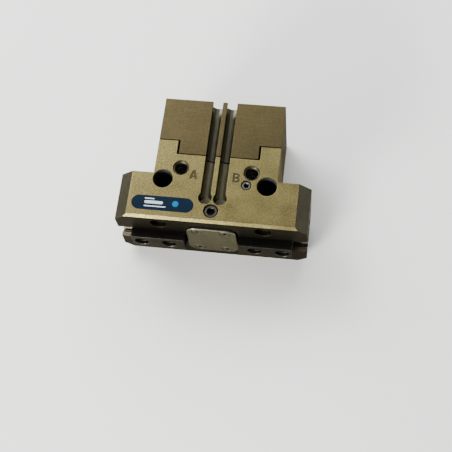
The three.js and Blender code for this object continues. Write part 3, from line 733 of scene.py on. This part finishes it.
def sleeve_profile(face, into, radius, sleeve_depth, sleeve_r, chamfer, floor):
    """Profile of a hole with a seat for a centring sleeve; into is the way in from the face, 1 or -1."""
    return [
        (face - into * OVER, sleeve_r + chamfer), (face, sleeve_r + chamfer),
        (face + into * chamfer, sleeve_r), (face + into * sleeve_depth, sleeve_r),
        (face + into * sleeve_depth, radius), (floor, radius),
    ]


# -------- housing


def letter_tool(outline, counters, left):
    """The engraving of one port letter, as a cutter: its outline less its counters, from its left foot."""

    def plate(points, low, high):
        return machined(prism([(left + x, y_of(LETTER_Y) + y) for x, y in points], "z", low, high), ENGRAVED)

    tool = plate(outline, THICK - LETTER_DEPTH, THICK + OVER)
    return boolean(tool, [plate(counter, THICK - OVER, THICK + 2 * OVER) for counter in counters])


def letter_a():
    outline = [(0, 0), (0.88, 0), (1.08, 0.66), (1.92, 0.66), (2.12, 0), (3, 0), (1.95, 3.5), (1.05, 3.5)]
    counter = [(1.28, 1.36), (1.72, 1.36), (1.5, 2.12)]
    return letter_tool(outline, [counter], LETTER_A_LEFT)


def letter_b():
    outline = [(0, 0)] + arc((1.6, 1.0), 1.0, -90, 57) + arc((1.5, 2.62), 0.88, -40, 90) + [(0, 3.5)]
    low_counter = [(0.78, 0.7)] + arc((1.5, 0.99), 0.29, -90, 90, 6) + [(0.78, 1.28)]
    high_counter = [(0.78, 2.2)] + arc((1.4, 2.5), 0.3, -90, 90, 6) + [(0.78, 2.8)]
    return letter_tool(outline, [low_counter, high_counter], LETTER_B_LEFT)


def housing_blank():
    """The head with bevelled ends, joined with the body, and chamfered along the jaw side."""
    low = y_of(0)
    half = HEAD_HALF
    ends = [
        (-half, END_BEVEL_Z), (-half + END_BEVEL_X, 0), (half - END_BEVEL_X, 0), (half, END_BEVEL_Z),
        (half, THICK - END_BEVEL_Z), (half - END_BEVEL_X, THICK),
        (-half + END_BEVEL_X, THICK), (-half, THICK - END_BEVEL_Z),
    ]
    head = machined(prism(ends, "y", low, y_of(HEAD_LENGTH), "housing_body"), HOUSING)
    ear = y_of(EAR_Y - SEAM_RELIEF)
    body = machined(block((-BODY_HALF, BODY_HALF), (y_of(HEAD_LENGTH - OVER), ear), (0, THICK)), HOUSING)
    boolean(head, [body], "UNION")
    past_ear = y_of(EAR_Y) + OVER
    chamfered = [
        (y_of(EDGE_CHAMFER), 0), (past_ear, 0), (past_ear, THICK),
        (y_of(EDGE_CHAMFER), THICK), (low, THICK - EDGE_CHAMFER), (low, EDGE_CHAMFER),
    ]
    envelope = machined(prism(chamfered, "x", -HEAD_HALF - OVER, HEAD_HALF + OVER), HOUSING)
    return boolean(head, [envelope], "INTERSECT")


def hollow_tools():
    """Cutters of the large hollows: tongue, jaw channel, wedge pocket, bore, rod hole and plate seat."""
    inner = TONGUE_HALF + TONGUE_GAP
    through = (-OVER, THICK + OVER)
    tongue = block((-inner, inner), (y_of(SEAM_Y - SEAM_RELIEF), y_of(EAR_Y) + 2 * OVER), through)
    channel = prism(toothed_outline(-OVER, CHANNEL_FLOOR, 0), "x", -HEAD_HALF - OVER, HEAD_HALF + OVER)
    pocket = block(
        (-POCKET_HALF, POCKET_HALF),
        (y_of(CHANNEL_FLOOR - OVER), y_of(POCKET_FLOOR)),
        (MID_Z - POCKET_HALF_Z, MID_Z + POCKET_HALF_Z),
    )
    bore = piston_bore_tool(y_of(BORE_FLOOR), y_of(SEAM_Y) + OVER)
    rod_hole = bar("y", (0, 0, MID_Z), y_of(POCKET_FLOOR - OVER), y_of(BORE_FLOOR + OVER), ROD_HOLE_R, SMALL)
    seat_outline = rounded_rectangle(
        PLATE_HIGH.x + PLATE_GAP, PLATE_HIGH.z - MID_Z + PLATE_GAP, PLATE_CORNER + PLATE_GAP, (0, MID_Z)
    )
    seat = prism(seat_outline, "y", y_of(-OVER), PLATE_HIGH.y)
    return [machined(tool, BORE) for tool in (tongue, channel, pocket, bore, rod_hole, seat)]


def cross_hole_tool(side):
    """A hole through the body: sleeve seat at the back, wide for a screw head at the front."""
    head_floor = THICK - CROSS_HEAD_DEPTH
    profile = sleeve_profile(0, 1, CROSS_R, SLEEVE_DEPTH, SLEEVE_R, SLEEVE_CHAMFER, head_floor)
    profile += [(head_floor, CROSS_HEAD_R)] + lead_in(THICK, CROSS_HEAD_R, CROSS_LEAD)
    return machined(lathe("z", (side * CROSS_X, y_of(CROSS_Y), 0), profile), HOLE)


def port_tool(side):
    """An air port: countersink, thread hole and the small hole that feeds it."""
    floor = THICK - PORT_DEPTH
    profile = [(floor - PORT_FEED_DEPTH, PORT_FEED_R), (floor, PORT_FEED_R), (floor, PORT_R)]
    profile += [(THICK - PORT_SINK_DEPTH, PORT_R), (THICK - PORT_SINK_LAND, PORT_SINK_R)]
    profile += [(THICK + OVER, PORT_SINK_R)]
    return machined(lathe("z", (side * PORT_X, y_of(PORT_Y), 0), profile), BORE)


def slot_start_tool(side):
    """The round place where a sensor slot starts, with a rounded floor."""
    floor = THICK - SLOT_DEPTH
    profile = [(floor, SLOT_R - SLOT_FLOOR_R), (floor + 0.12, SLOT_R - 0.1), (floor + SLOT_FLOOR_R, SLOT_R)]
    profile += [(THICK + OVER, SLOT_R)]
    return machined(lathe("z", (side * SLOT_X, y_of(SLOT_START), 0), profile), HEAD_SLOT)


def accessory_tool(side, up):
    """A hole with a sleeve seat beside the jaw channel, for accessories."""
    profile = sleeve_profile(
        y_of(0), 1, ACCESSORY_R, ACCESSORY_SEAT, SLEEVE_R, SMALL_CHAMFER, y_of(ACCESSORY_DEPTH)
    )
    centre = (side * ACCESSORY_X, 0, MID_Z + up * ACCESSORY_DZ)
    # the accessory hole is lined with painted shade
    return machined(lathe("y", centre, profile), RECESS)


def plug_hole_tool(low, high):
    """The hole round a plug in the front face, from the plug's box."""
    radius = (high.x - low.x) / 2 + PLUG_PLAY
    end = low.z - PLUG_CLEAR
    profile = [(end - PLUG_CONE, radius - PLUG_CONE), (end, radius)] + lead_in(THICK, radius, PLUG_LEAD)
    return machined(lathe("z", ((low.x + high.x) / 2, (low.y + high.y) / 2, 0), profile), BORE)


def hole_tools():
    """Cutters of the slots and the round holes."""
    tools = mirrored(cross_hole_tool) + mirrored(port_tool) + mirrored(slot_start_tool)
    tools += slot_tools(SLOT_START, EAR_Y + 2 * OVER, HEAD_SLOT)
    tools += [accessory_tool(side, up) for side in (1, -1) for up in (1, -1)]
    return tools + [plug_hole_tool(PURGE_LOW, PURGE_HIGH), plug_hole_tool(PASSAGE_LOW, PASSAGE_HIGH)]


def reface(piece, old, new, chosen):
    """Gives the faces of one material that chosen(normal, centre) picks another one."""
    piece.data.materials.append(new)
    for polygon in piece.data.polygons:
        if piece.data.materials[polygon.material_index] == old and chosen(polygon.normal, polygon.center):
            polygon.material_index = len(piece.data.materials) - 1


def is_face(normal, centre):
    """Towards the fingers."""
    return normal.y < -FACING


def is_end(normal, centre):
    """On an end of the head or its bevels."""
    return abs(normal.x) > 0.5 and abs(centre.x) > BODY_HALF + 1


def is_wall(normal, centre):
    """On a side of the body, or on the back of the head."""
    if normal.y > FACING:
        return abs(centre.x) > BODY_HALF
    return abs(normal.x) > FACING and abs(centre.x) > BODY_HALF - 0.1


def is_mouth(normal, centre):
    """On the chamfer of a hole in the front face."""
    return 0.3 < normal.z < 0.95 and centre.z > THICK - 0.6


def is_joint(normal, centre):
    """On the face that meets the other block."""
    return abs(normal.y) > FACING and y_of(SEAM_Y - 1) < centre.y < y_of(EAR_Y + 1)


def make_housing():
    piece = housing_blank()
    boolean(piece, hollow_tools())
    boolean(piece, hole_tools())
    # the jaw side takes the painted-shade finish
    reface(piece, HOUSING, FACE, is_face)
    # the ends and bevels take the darker milled finish: painted shade
    reface(piece, HOUSING, SIDE, is_end)
    # the walls take the darker copy: painted shade
    reface(piece, HOUSING, HOUSING_WALL, is_wall)
    # the faces at the seam take painted shade
    for material in (HOUSING, BORE):
        reface(piece, material, RECESS, is_joint)
    for material in (HOLE, BORE):
        reface(piece, material, HOUSING, is_mouth)
    boolean(piece, [letter_a(), letter_b()])
    soften(piece, HOUSING_EDGE)
    return finish(piece, HOUSING, "gripper_body", "housing")


def make_port_thread(side, name):
    """The thread of an air port: a tube whose inside has a row of V grooves."""
    mouth = THICK - THREAD_TOP
    back = PORT_R + THREAD_BACK
    root = PORT_R - THREAD_ROOT
    turns = int((PORT_DEPTH - THREAD_PITCH) / THREAD_PITCH)
    profile = [(mouth, back), (mouth, root)]
    for turn in range(turns):
        start = mouth - turn * THREAD_PITCH
        crest = THREAD_CREST if turn else THREAD_FIRST_CREST
        profile += [(start - crest * THREAD_PITCH, THREAD_MINOR_R)]
        profile += [(start - THREAD_CREST_END * THREAD_PITCH, THREAD_MINOR_R)]
        profile += [(start - THREAD_ROOT_START * THREAD_PITCH, root)]
        profile += [(start - THREAD_ROOT_END * THREAD_PITCH, root)]
    end = mouth - turns * THREAD_PITCH
    profile += [(end, THREAD_MINOR_R), (end, back)]
    piece = lathe("z", (side * PORT_X, y_of(PORT_Y), 0), profile, SMALL, ring=True, name=name)
    return finish(piece, THREAD, "gripper_body")


# -------- cylinder cover


def clamp_seat_tool(side, up):
    """The seat of a clamp screw's head in the base face."""
    base = y_of(BASE_Y)
    wide = CLAMP_SEAT_R + CLAMP_SEAT_CHAMFER
    profile = [(base - CLAMP_SEAT_DEPTH, CLAMP_SEAT_R), (base - CLAMP_SEAT_CHAMFER, CLAMP_SEAT_R)]
    profile += [(base, wide), (base + OVER, wide)]
    return machined(lathe("y", (side * CLAMP_X, 0, MID_Z + up * CLAMP_DZ), profile), BORE)


def base_thread_tool(side):
    """A mounting hole in the base face, with a sleeve seat."""
    base = y_of(BASE_Y)
    profile = sleeve_profile(
        base, -1, BASE_THREAD_R, SLEEVE_DEPTH, SLEEVE_R, SLEEVE_CHAMFER, base - BASE_THREAD_DEPTH
    )
    return machined(lathe("y", (side * BASE_THREAD_X, 0, MID_Z), profile[::-1]), BORE)


def base_port_tool(side):
    """An air port in the base face, with the seat of its plug."""
    base = y_of(BASE_Y)
    seat = base - BASE_PORT_SEAT_DEPTH
    profile = [(base - BASE_PORT_DEPTH, BASE_PORT_R), (seat, BASE_PORT_R)]
    profile += [(seat, BASE_PORT_SEAT_R), (base + OVER, BASE_PORT_SEAT_R)]
    return machined(lathe("y", (side * BASE_PORT_X, 0, BASE_PORT_Z), profile, ROUND), BORE)


def make_cover():
    tongue = TONGUE_HALF - TONGUE_GAP
    top = y_of(EAR_Y + SEAM_GAP + SEAM_RELIEF)
    nose_top = y_of(SEAM_Y + SEAM_GAP + SEAM_RELIEF)
    piece = machined(block((-BODY_HALF, BODY_HALF), (top, y_of(BASE_Y)), (0, THICK), "cylinder_block"), COVER)
    nose = machined(block((-tongue, tongue), (nose_top, top + OVER), (0, THICK)), COVER)
    boolean(piece, [nose], "UNION")
    tools = [machined(piston_bore_tool(y_of(SEAM_Y) - OVER, y_of(BORE_END)), BORE)]
    tools += slot_tools(SEAM_Y - OVER, BASE_Y + OVER, SLOT)
    for side in (1, -1):
        tools += [clamp_seat_tool(side, up) for up in (1, -1)]
        tools += [base_thread_tool(side), base_port_tool(side)]
    boolean(piece, tools)
    # the faces at the seam take painted shade
    reface(piece, COVER, RECESS, is_joint)
    reface(piece, COVER, COVER_WALL, is_wall)
    soften(piece, COVER_EDGE)
    return finish(piece, COVER, "gripper_body", "cylinder_cover")


# -------- jaws


def flank_x(depth, offset):
    """X of the wedge's right flank at a depth, moved out by offset."""
    return WEDGE_HALF - WEDGE_SLOPE * (depth - WEDGE_TOP) + offset


def flank_groove(start, end, depths, half_z):
    """A cutter that follows the wedge's flank, between two offsets."""
    top, bottom = depths
    outline = [
        (flank_x(top, start), y_of(top)), (flank_x(top, end), y_of(top)),
        (flank_x(bottom, end), y_of(bottom)), (flank_x(bottom, start), y_of(bottom)),
    ]
    return prism(outline, "z", MID_Z - half_z, MID_Z + half_z)


def finger_hole_tool(x):
    """A hole with a sleeve seat in the jaw's outer face, for a finger."""
    top = JAW_LOW.y
    profile = sleeve_profile(
        top, 1, FINGER_R, FINGER_SLEEVE_DEPTH, FINGER_SLEEVE_R, SMALL_CHAMFER, top + FINGER_DEPTH
    )
    return lathe("y", (x, 0, MID_Z), profile, ROUND)


def make_jaw(side, name, node, body):
    face = JAW_LOW.y - JAW_SIDE
    bottom = JAW_HIGH.y - JAW_SIDE
    piece = machined(prism(toothed_outline(face, bottom, JAW_PLAY), "x", JAW_LOW.x, JAW_HIGH.x, name), JAW)
    below = bottom + OVER
    depths = (JAW_OVER_WEDGE, below)
    inside = [
        (0, y_of(face - OVER)), (JAW_INNER, y_of(face - OVER)), (JAW_INNER, y_of(JAW_OVER_WEDGE)),
        (flank_x(JAW_OVER_WEDGE, WEDGE_PLAY), y_of(JAW_OVER_WEDGE)),
        (flank_x(below, WEDGE_PLAY), y_of(below)), (0, y_of(below)),
    ]
    rail_end = RAIL_NECK + RAIL_HEAD + WEDGE_PLAY
    tools = [
        prism(inside, "z", -OVER, THICK + OVER),
        flank_groove(-OVER, RAIL_NECK, depths, RAIL_NECK_HALF_Z + WEDGE_PLAY),
        flank_groove(RAIL_NECK - WEDGE_PLAY, rail_end, depths, RAIL_HEAD_HALF_Z + WEDGE_PLAY),
    ]
    tools += [finger_hole_tool(x) for x in FINGER_X]
    boolean(piece, [machined(tool, JAW) for tool in tools])
    if side < 0:
        piece.data.transform(Matrix.Scale(-1, 4, Vector((1, 0, 0))))
        piece.data.flip_normals()
    soften(piece, JAW_EDGE)
    return finish(piece, JAW, body, node)


# -------- cover plate, screws and plugs


def make_plate():
    outline = rounded_rectangle(PLATE_HIGH.x, PLATE_HIGH.z - MID_Z, PLATE_CORNER, (0, MID_Z), 12)
    piece = machined(prism(outline, "y", PLATE_LOW.y, PLATE_HIGH.y, "jaw_cover_plate"), PLATE)
    soften(piece, PLATE_RIM, 4)
    profile = [(PLATE_LOW.y - OVER, PLATE_SINK_R), (PLATE_LOW.y, PLATE_SINK_R)]
    profile += [(PLATE_LOW.y + PLATE_SINK_DEPTH, PLATE_HOLE_R), (PLATE_HIGH.y + OVER, PLATE_HOLE_R)]
    tools = []
    for x in (-PLATE_SCREW_X, PLATE_SCREW_X):
        for up in (1, -1):
            centre = (x, 0, MID_Z + up * PLATE_SCREW_DZ)
            # the screw seats are lined with painted shade
            tools.append(machined(lathe("y", centre, profile, ROUND), RECESS))
    boolean(piece, tools)
    soften(piece, PLATE_EDGE)
    return finish(piece, PLATE, "gripper_body", "centre_cover")


def make_plate_screw(node):
    """A countersunk screw with a hexagon socket and a rounded rim."""
    low, high = box_mm(node)
    centre = ((low.x + high.x) / 2, 0, (low.z + high.z) / 2)
    top = low.y
    head = PLATE_SCREW_HEAD_R
    profile = [(top, head - 0.2), (top + 0.08, head - 0.04), (top + 0.2, head)]
    profile += [(top + PLATE_SINK_DEPTH, PLATE_SCREW_R + 0.03), (high.y, PLATE_SCREW_R)]
    piece = machined(lathe("y", centre, profile, ROUND, name=node + "_turned"), PLATE)
    socket = hexagon("y", centre, top - OVER, top + PLATE_SOCKET_DEPTH, PLATE_SOCKET)
    boolean(piece, [machined(socket, BLACK)])
    soften(piece, PLATE_SCREW_EDGE)
    return finish(piece, PLATE, "gripper_body", node)


def make_clamp_screw(node):
    """A cap screw with a hexagon socket, whose head fills its seat in the base face."""
    low, high = box_mm(node)
    centre = ((low.x + high.x) / 2, 0, (low.z + high.z) / 2)
    top = high.y
    seat = top - CLAMP_HEAD
    profile = [(low.y, CLAMP_SCREW_R - 0.2), (low.y + 0.3, CLAMP_SCREW_R), (seat, CLAMP_SCREW_R)]
    profile += [(seat, CLAMP_HEAD_R - 0.1), (seat + 0.1, CLAMP_HEAD_R), (top - 0.35, CLAMP_HEAD_R)]
    profile += [(top - 0.1, CLAMP_HEAD_R - 0.15), (top, CLAMP_HEAD_R - 0.4)]
    piece = machined(lathe("y", centre, profile, ROUND, name=node + "_turned"), BLACK)
    socket = hexagon("y", centre, top - CLAMP_SOCKET_DEPTH, top + OVER, CLAMP_SOCKET)
    boolean(piece, [machined(socket, BLACK)])
    soften(piece, CLAMP_SCREW_EDGE)
    return finish(piece, BLACK, "gripper_body", node)


def make_set_screw(node, axis, socket, depth, material):
    """A set screw with chamfered ends and a hexagon socket, whose mouth is dished."""
    low, high = box_mm(node)
    centre = tuple((low + high) / 2)
    bottom, top = low["xyz".index(axis)], high["xyz".index(axis)]
    radius = (high.x - low.x) / 2
    mouth = socket / 2
    profile = [(bottom, radius - SCREW_END_CHAMFER), (bottom + SCREW_END_CHAMFER, radius)]
    profile += [(top - SCREW_TOP_CHAMFER, radius), (top, radius - SCREW_TOP_CHAMFER)]
    dish_profile = [(top - SCREW_TOP_CHAMFER, mouth), (top + 0.2, mouth + 0.5)]
    piece = machined(lathe(axis, centre, profile, ROUND, name=node + "_turned"), material)
    dish = machined(lathe(axis, centre, dish_profile, ROUND), material)
    recess = machined(hexagon(axis, centre, top - depth, top + OVER, socket), BLACK)
    boolean(piece, [dish, recess])
    soften(piece, SET_SCREW_EDGE)
    return finish(piece, material, "gripper_body", node)


# -------- closing springs


def coil_places(start, rise):
    """Turn and place along y of each ring of the wire; the turns at both ends lie close together."""
    open_turns = SPRING_TURNS - 2 * SPRING_CLOSED
    open_pitch = (rise - 2 * SPRING_CLOSED * SPRING_CLOSED_PITCH) / open_turns
    places = []
    for step in range(int(SPRING_TURNS * SPRING_STEPS) + 1):
        turn = step / SPRING_STEPS
        near = min(turn, SPRING_CLOSED) + max(0, turn - (SPRING_TURNS - SPRING_CLOSED))
        places.append((turn, start + near * SPRING_CLOSED_PITCH + (turn - near) * open_pitch))
    return places


def make_spring(node):
    """A coil spring, made at one length; in the gripper it shortens towards the cylinder's floor as the
    piston comes back.
    """
    low, high = box_mm(node)
    centre = (low + high) / 2
    radius = (high.x - low.x) / 2 - SPRING_WIRE_R
    start = low.y + SPRING_WIRE_R
    wire = coil_places(start, high.y - SPRING_WIRE_R - start)
    vertices = []
    for turn, along in wire:
        angle = 2 * math.pi * turn
        for k in range(SPRING_SIDES):
            around = 2 * math.pi * k / SPRING_SIDES
            reach = radius + SPRING_WIRE_R * math.cos(around)
            x = centre.x + reach * math.cos(angle)
            z = centre.z + reach * math.sin(angle)
            vertices.append((x, along + SPRING_WIRE_R * math.sin(around), z))
    last = (len(wire) - 1) * SPRING_SIDES
    faces = [tuple(range(SPRING_SIDES)), tuple(range(last, last + SPRING_SIDES))]
    for a in range(0, last, SPRING_SIDES):
        b = a + SPRING_SIDES
        for k in range(SPRING_SIDES):
            k1 = (k + 1) % SPRING_SIDES
            faces.append((a + k, a + k1, b + k1, b + k))
    piece = machined(mesh_object(node + "_coil", vertices, faces), SPRING)
    finish(piece, SPRING, "gripper_body", node)
    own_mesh(piece)


# -------- label


# Plain bars and a dot in place of print, as shares of the label's half width and half height: left, right,
# middle height and half height of each bar, and x, y and radius of the dot.
LABEL_BARS = (
    (-0.58, -0.27, 0.56, 0.07),
    (-0.58, 0.02, 0.06, 0.2),
    (-0.58, 0.12, -0.5, 0.07),
)
LABEL_DOT = (0.42, 0.05, 0.42)


def make_label():
    half_x = (LABEL_HIGH.x - LABEL_LOW.x) / 2
    half_y = (LABEL_HIGH.y - LABEL_LOW.y) / 2
    centre = ((LABEL_LOW.x + LABEL_HIGH.x) / 2, (LABEL_LOW.y + LABEL_HIGH.y) / 2)
    top = LABEL_HIGH.z - LABEL_ROOM
    outline = rounded_rectangle(half_x, half_y, half_y, centre, 20)
    piece = machined(prism(outline, "z", LABEL_LOW.z, top, "label_film_plain"), FILM)
    soften(piece, LABEL_EDGE)
    finish(piece, FILM, "gripper_body", "name_plate")
    print_low, print_high = top - PRINT_SUNK, top + PRINT_RAISED
    for number, (left, right, up, half) in enumerate(LABEL_BARS, 1):
        middle = (centre[0] + (left + right) / 2 * half_x, centre[1] + up * half_y)
        half_bar = half * half_y
        bar_outline = rounded_rectangle((right - left) / 2 * half_x, half_bar, half_bar, middle, 6)
        stripe = machined(prism(bar_outline, "z", print_low, print_high, f"label_bar_{number}"), FILM_PALE)
        clean(stripe)
        finish(stripe, FILM_PALE, "gripper_body")
    across, up, size = LABEL_DOT
    dot_centre = (centre[0] + across * half_x, centre[1] + up * half_y, 0)
    dot = bar("z", dot_centre, print_low, print_high, size * half_y, ROUND, "label_dot")
    finish(machined(dot, FILM_BLUE), FILM_BLUE, "gripper_body")


# -------- making the pieces

make_housing()
make_cover()
make_plate()
make_jaw(1, "jaw_steel_right", "base_jaw_right", "jaw_right")
make_jaw(-1, "jaw_steel_left", "base_jaw_left", "jaw_left")
make_label()
make_set_screw("purge_port_plug", "z", 2.5, 2.2, PURGE)
make_set_screw("passage_plug", "z", 1.5, 1.4, BRIGHT)
for side_name in ("left", "right"):
    make_spring(f"closing_spring_{side_name}")
    make_set_screw(f"base_port_plug_{side_name}", "y", 1.5, 1.5, PURGE)
    for end_name in ("front", "back"):
        make_plate_screw(f"centre_cover_screw_{end_name}_{side_name}")
        make_clamp_screw(f"clamp_screw_{end_name}_{side_name}")

make_port_thread(1, "port_thread_right")
make_port_thread(-1, "port_thread_left")

CAD_LOOKS = {  # the inner pieces keep their CAD meshes
    "cylinder_seal": RUBBER,
    "rod_seal": RUBBER,
    "piston_seal": RUBBER,
    "piston": PISTON,
    "wedge_hook": JAW,
    "hook_screw": BLACK,
    "piston_magnet_left": MAGNET,
    "piston_magnet_right": MAGNET,
    "dowel_pin_left": BRIGHT,
    "dowel_pin_right": BRIGHT,
}
for node, material in CAD_LOOKS.items():
    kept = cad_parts[node]
    kept.data.materials.clear()
    kept.data.materials.append(material)
    for polygon in kept.data.polygons:
        polygon.material_index = 0

# -------- floor, light and camera


def make_floor():
    mesh = bpy.data.meshes.new("floor")
    reach = 1.5
    level = -0.00005  # just under the gripper's back
    corners = [(-reach, -reach, level), (reach, -reach, level), (reach, reach, level), (-reach, reach, level)]
    mesh.from_pydata(corners, [], [(0, 1, 2, 3)])
    floor = bpy.data.objects.new("floor", mesh)
    bpy.context.scene.collection.objects.link(floor)
    n = Nodes("floor_pale")
    colour = n.mix(n.spread(n.noise(3, 3), 0.3, 0.7), (0.86, 0.855, 0.84), (0.92, 0.915, 0.9))
    mesh.materials.append(n.done(colour, n.spread(n.noise(6, 3), 0.3, 0.7, 0.6, 0.75)))


def area_light(name, place, target, size, power, colour=(1, 1, 1)):
    lamp = bpy.data.lights.new(name, "AREA")
    lamp.shape = "RECTANGLE"
    lamp.size, lamp.size_y = size
    lamp.energy = power
    lamp.color = colour
    light = bpy.data.objects.new(name, lamp)
    light.location = place
    light.rotation_euler = (Vector(target) - Vector(place)).to_track_quat("-Z", "Y").to_euler()
    bpy.context.scene.collection.objects.link(light)


def make_world():
    """A pale sky overhead that fades to a dark horizon, so that upright faces stay darker than the top."""
    world = bpy.data.worlds.new("studio")
    world.use_nodes = True
    tree = world.node_tree
    place = tree.nodes.new("ShaderNodeTexCoord")
    parts = tree.nodes.new("ShaderNodeSeparateXYZ")
    height = tree.nodes.new("ShaderNodeMapRange")
    height.interpolation_type = "SMOOTHSTEP"
    ramp = {"From Min": 0.1, "From Max": 0.9, "To Min": 0.2, "To Max": 0.38}
    for socket, number in ramp.items():
        height.inputs[socket].default_value = number
    background = tree.nodes["Background"]
    background.inputs["Color"].default_value = (0.94, 0.96, 1.0, 1)
    tree.links.new(place.outputs["Generated"], parts.inputs["Vector"])
    tree.links.new(parts.outputs["Z"], height.inputs["Value"])
    tree.links.new(height.outputs["Result"], background.inputs["Strength"])
    bpy.context.scene.world = world


def make_camera():
    """The photograph's viewpoint, fitted to the housing's edges and holes."""
    azimuth = math.radians(16.19)
    elevation = math.radians(66.88)
    roll = math.radians(-10.03)
    distance = 0.3267
    aim = Vector((6.0, y_of(-0.75), THICK)) * MM
    level = math.cos(elevation)
    back = Vector((math.sin(azimuth) * level, -math.cos(azimuth) * level, math.sin(elevation)))
    right = (-back).cross(Vector((0, 0, 1))).normalized()
    up = right.cross(-back)
    tilted_right = right * math.cos(roll) + up * math.sin(roll)
    tilted_up = -right * math.sin(roll) + up * math.cos(roll)
    data = bpy.data.cameras.new("camera")
    data.lens = 75.7
    data.sensor_width = 36
    data.clip_start = 0.005
    camera = bpy.data.objects.new("camera", data)
    place = Matrix((tilted_right, tilted_up, back)).transposed().to_4x4()
    place.translation = aim + back * distance
    camera.matrix_world = place
    bpy.context.scene.collection.objects.link(camera)
    bpy.context.scene.camera = camera


make_floor()
area_light("key", place=(-0.02, 0.62, 0.5), target=(0, 0, 0.02), size=(0.9, 0.45), power=8)
area_light("left_soft", place=(-0.55, 0.42, 0.6), target=(0, 0, 0.02), size=(0.5, 0.5), power=12)
area_light("right_soft", place=(0.62, 0.26, 0.17), target=(0, 0, 0.02), size=(0.3, 0.12), power=0.3)
area_light(
    "front_strip",
    place=(-0.32, -0.6, 0.24), target=(0, 0, 0.03), size=(0.28, 0.08), power=12, colour=(1, 0.99, 0.96),
)
make_world()
make_camera()
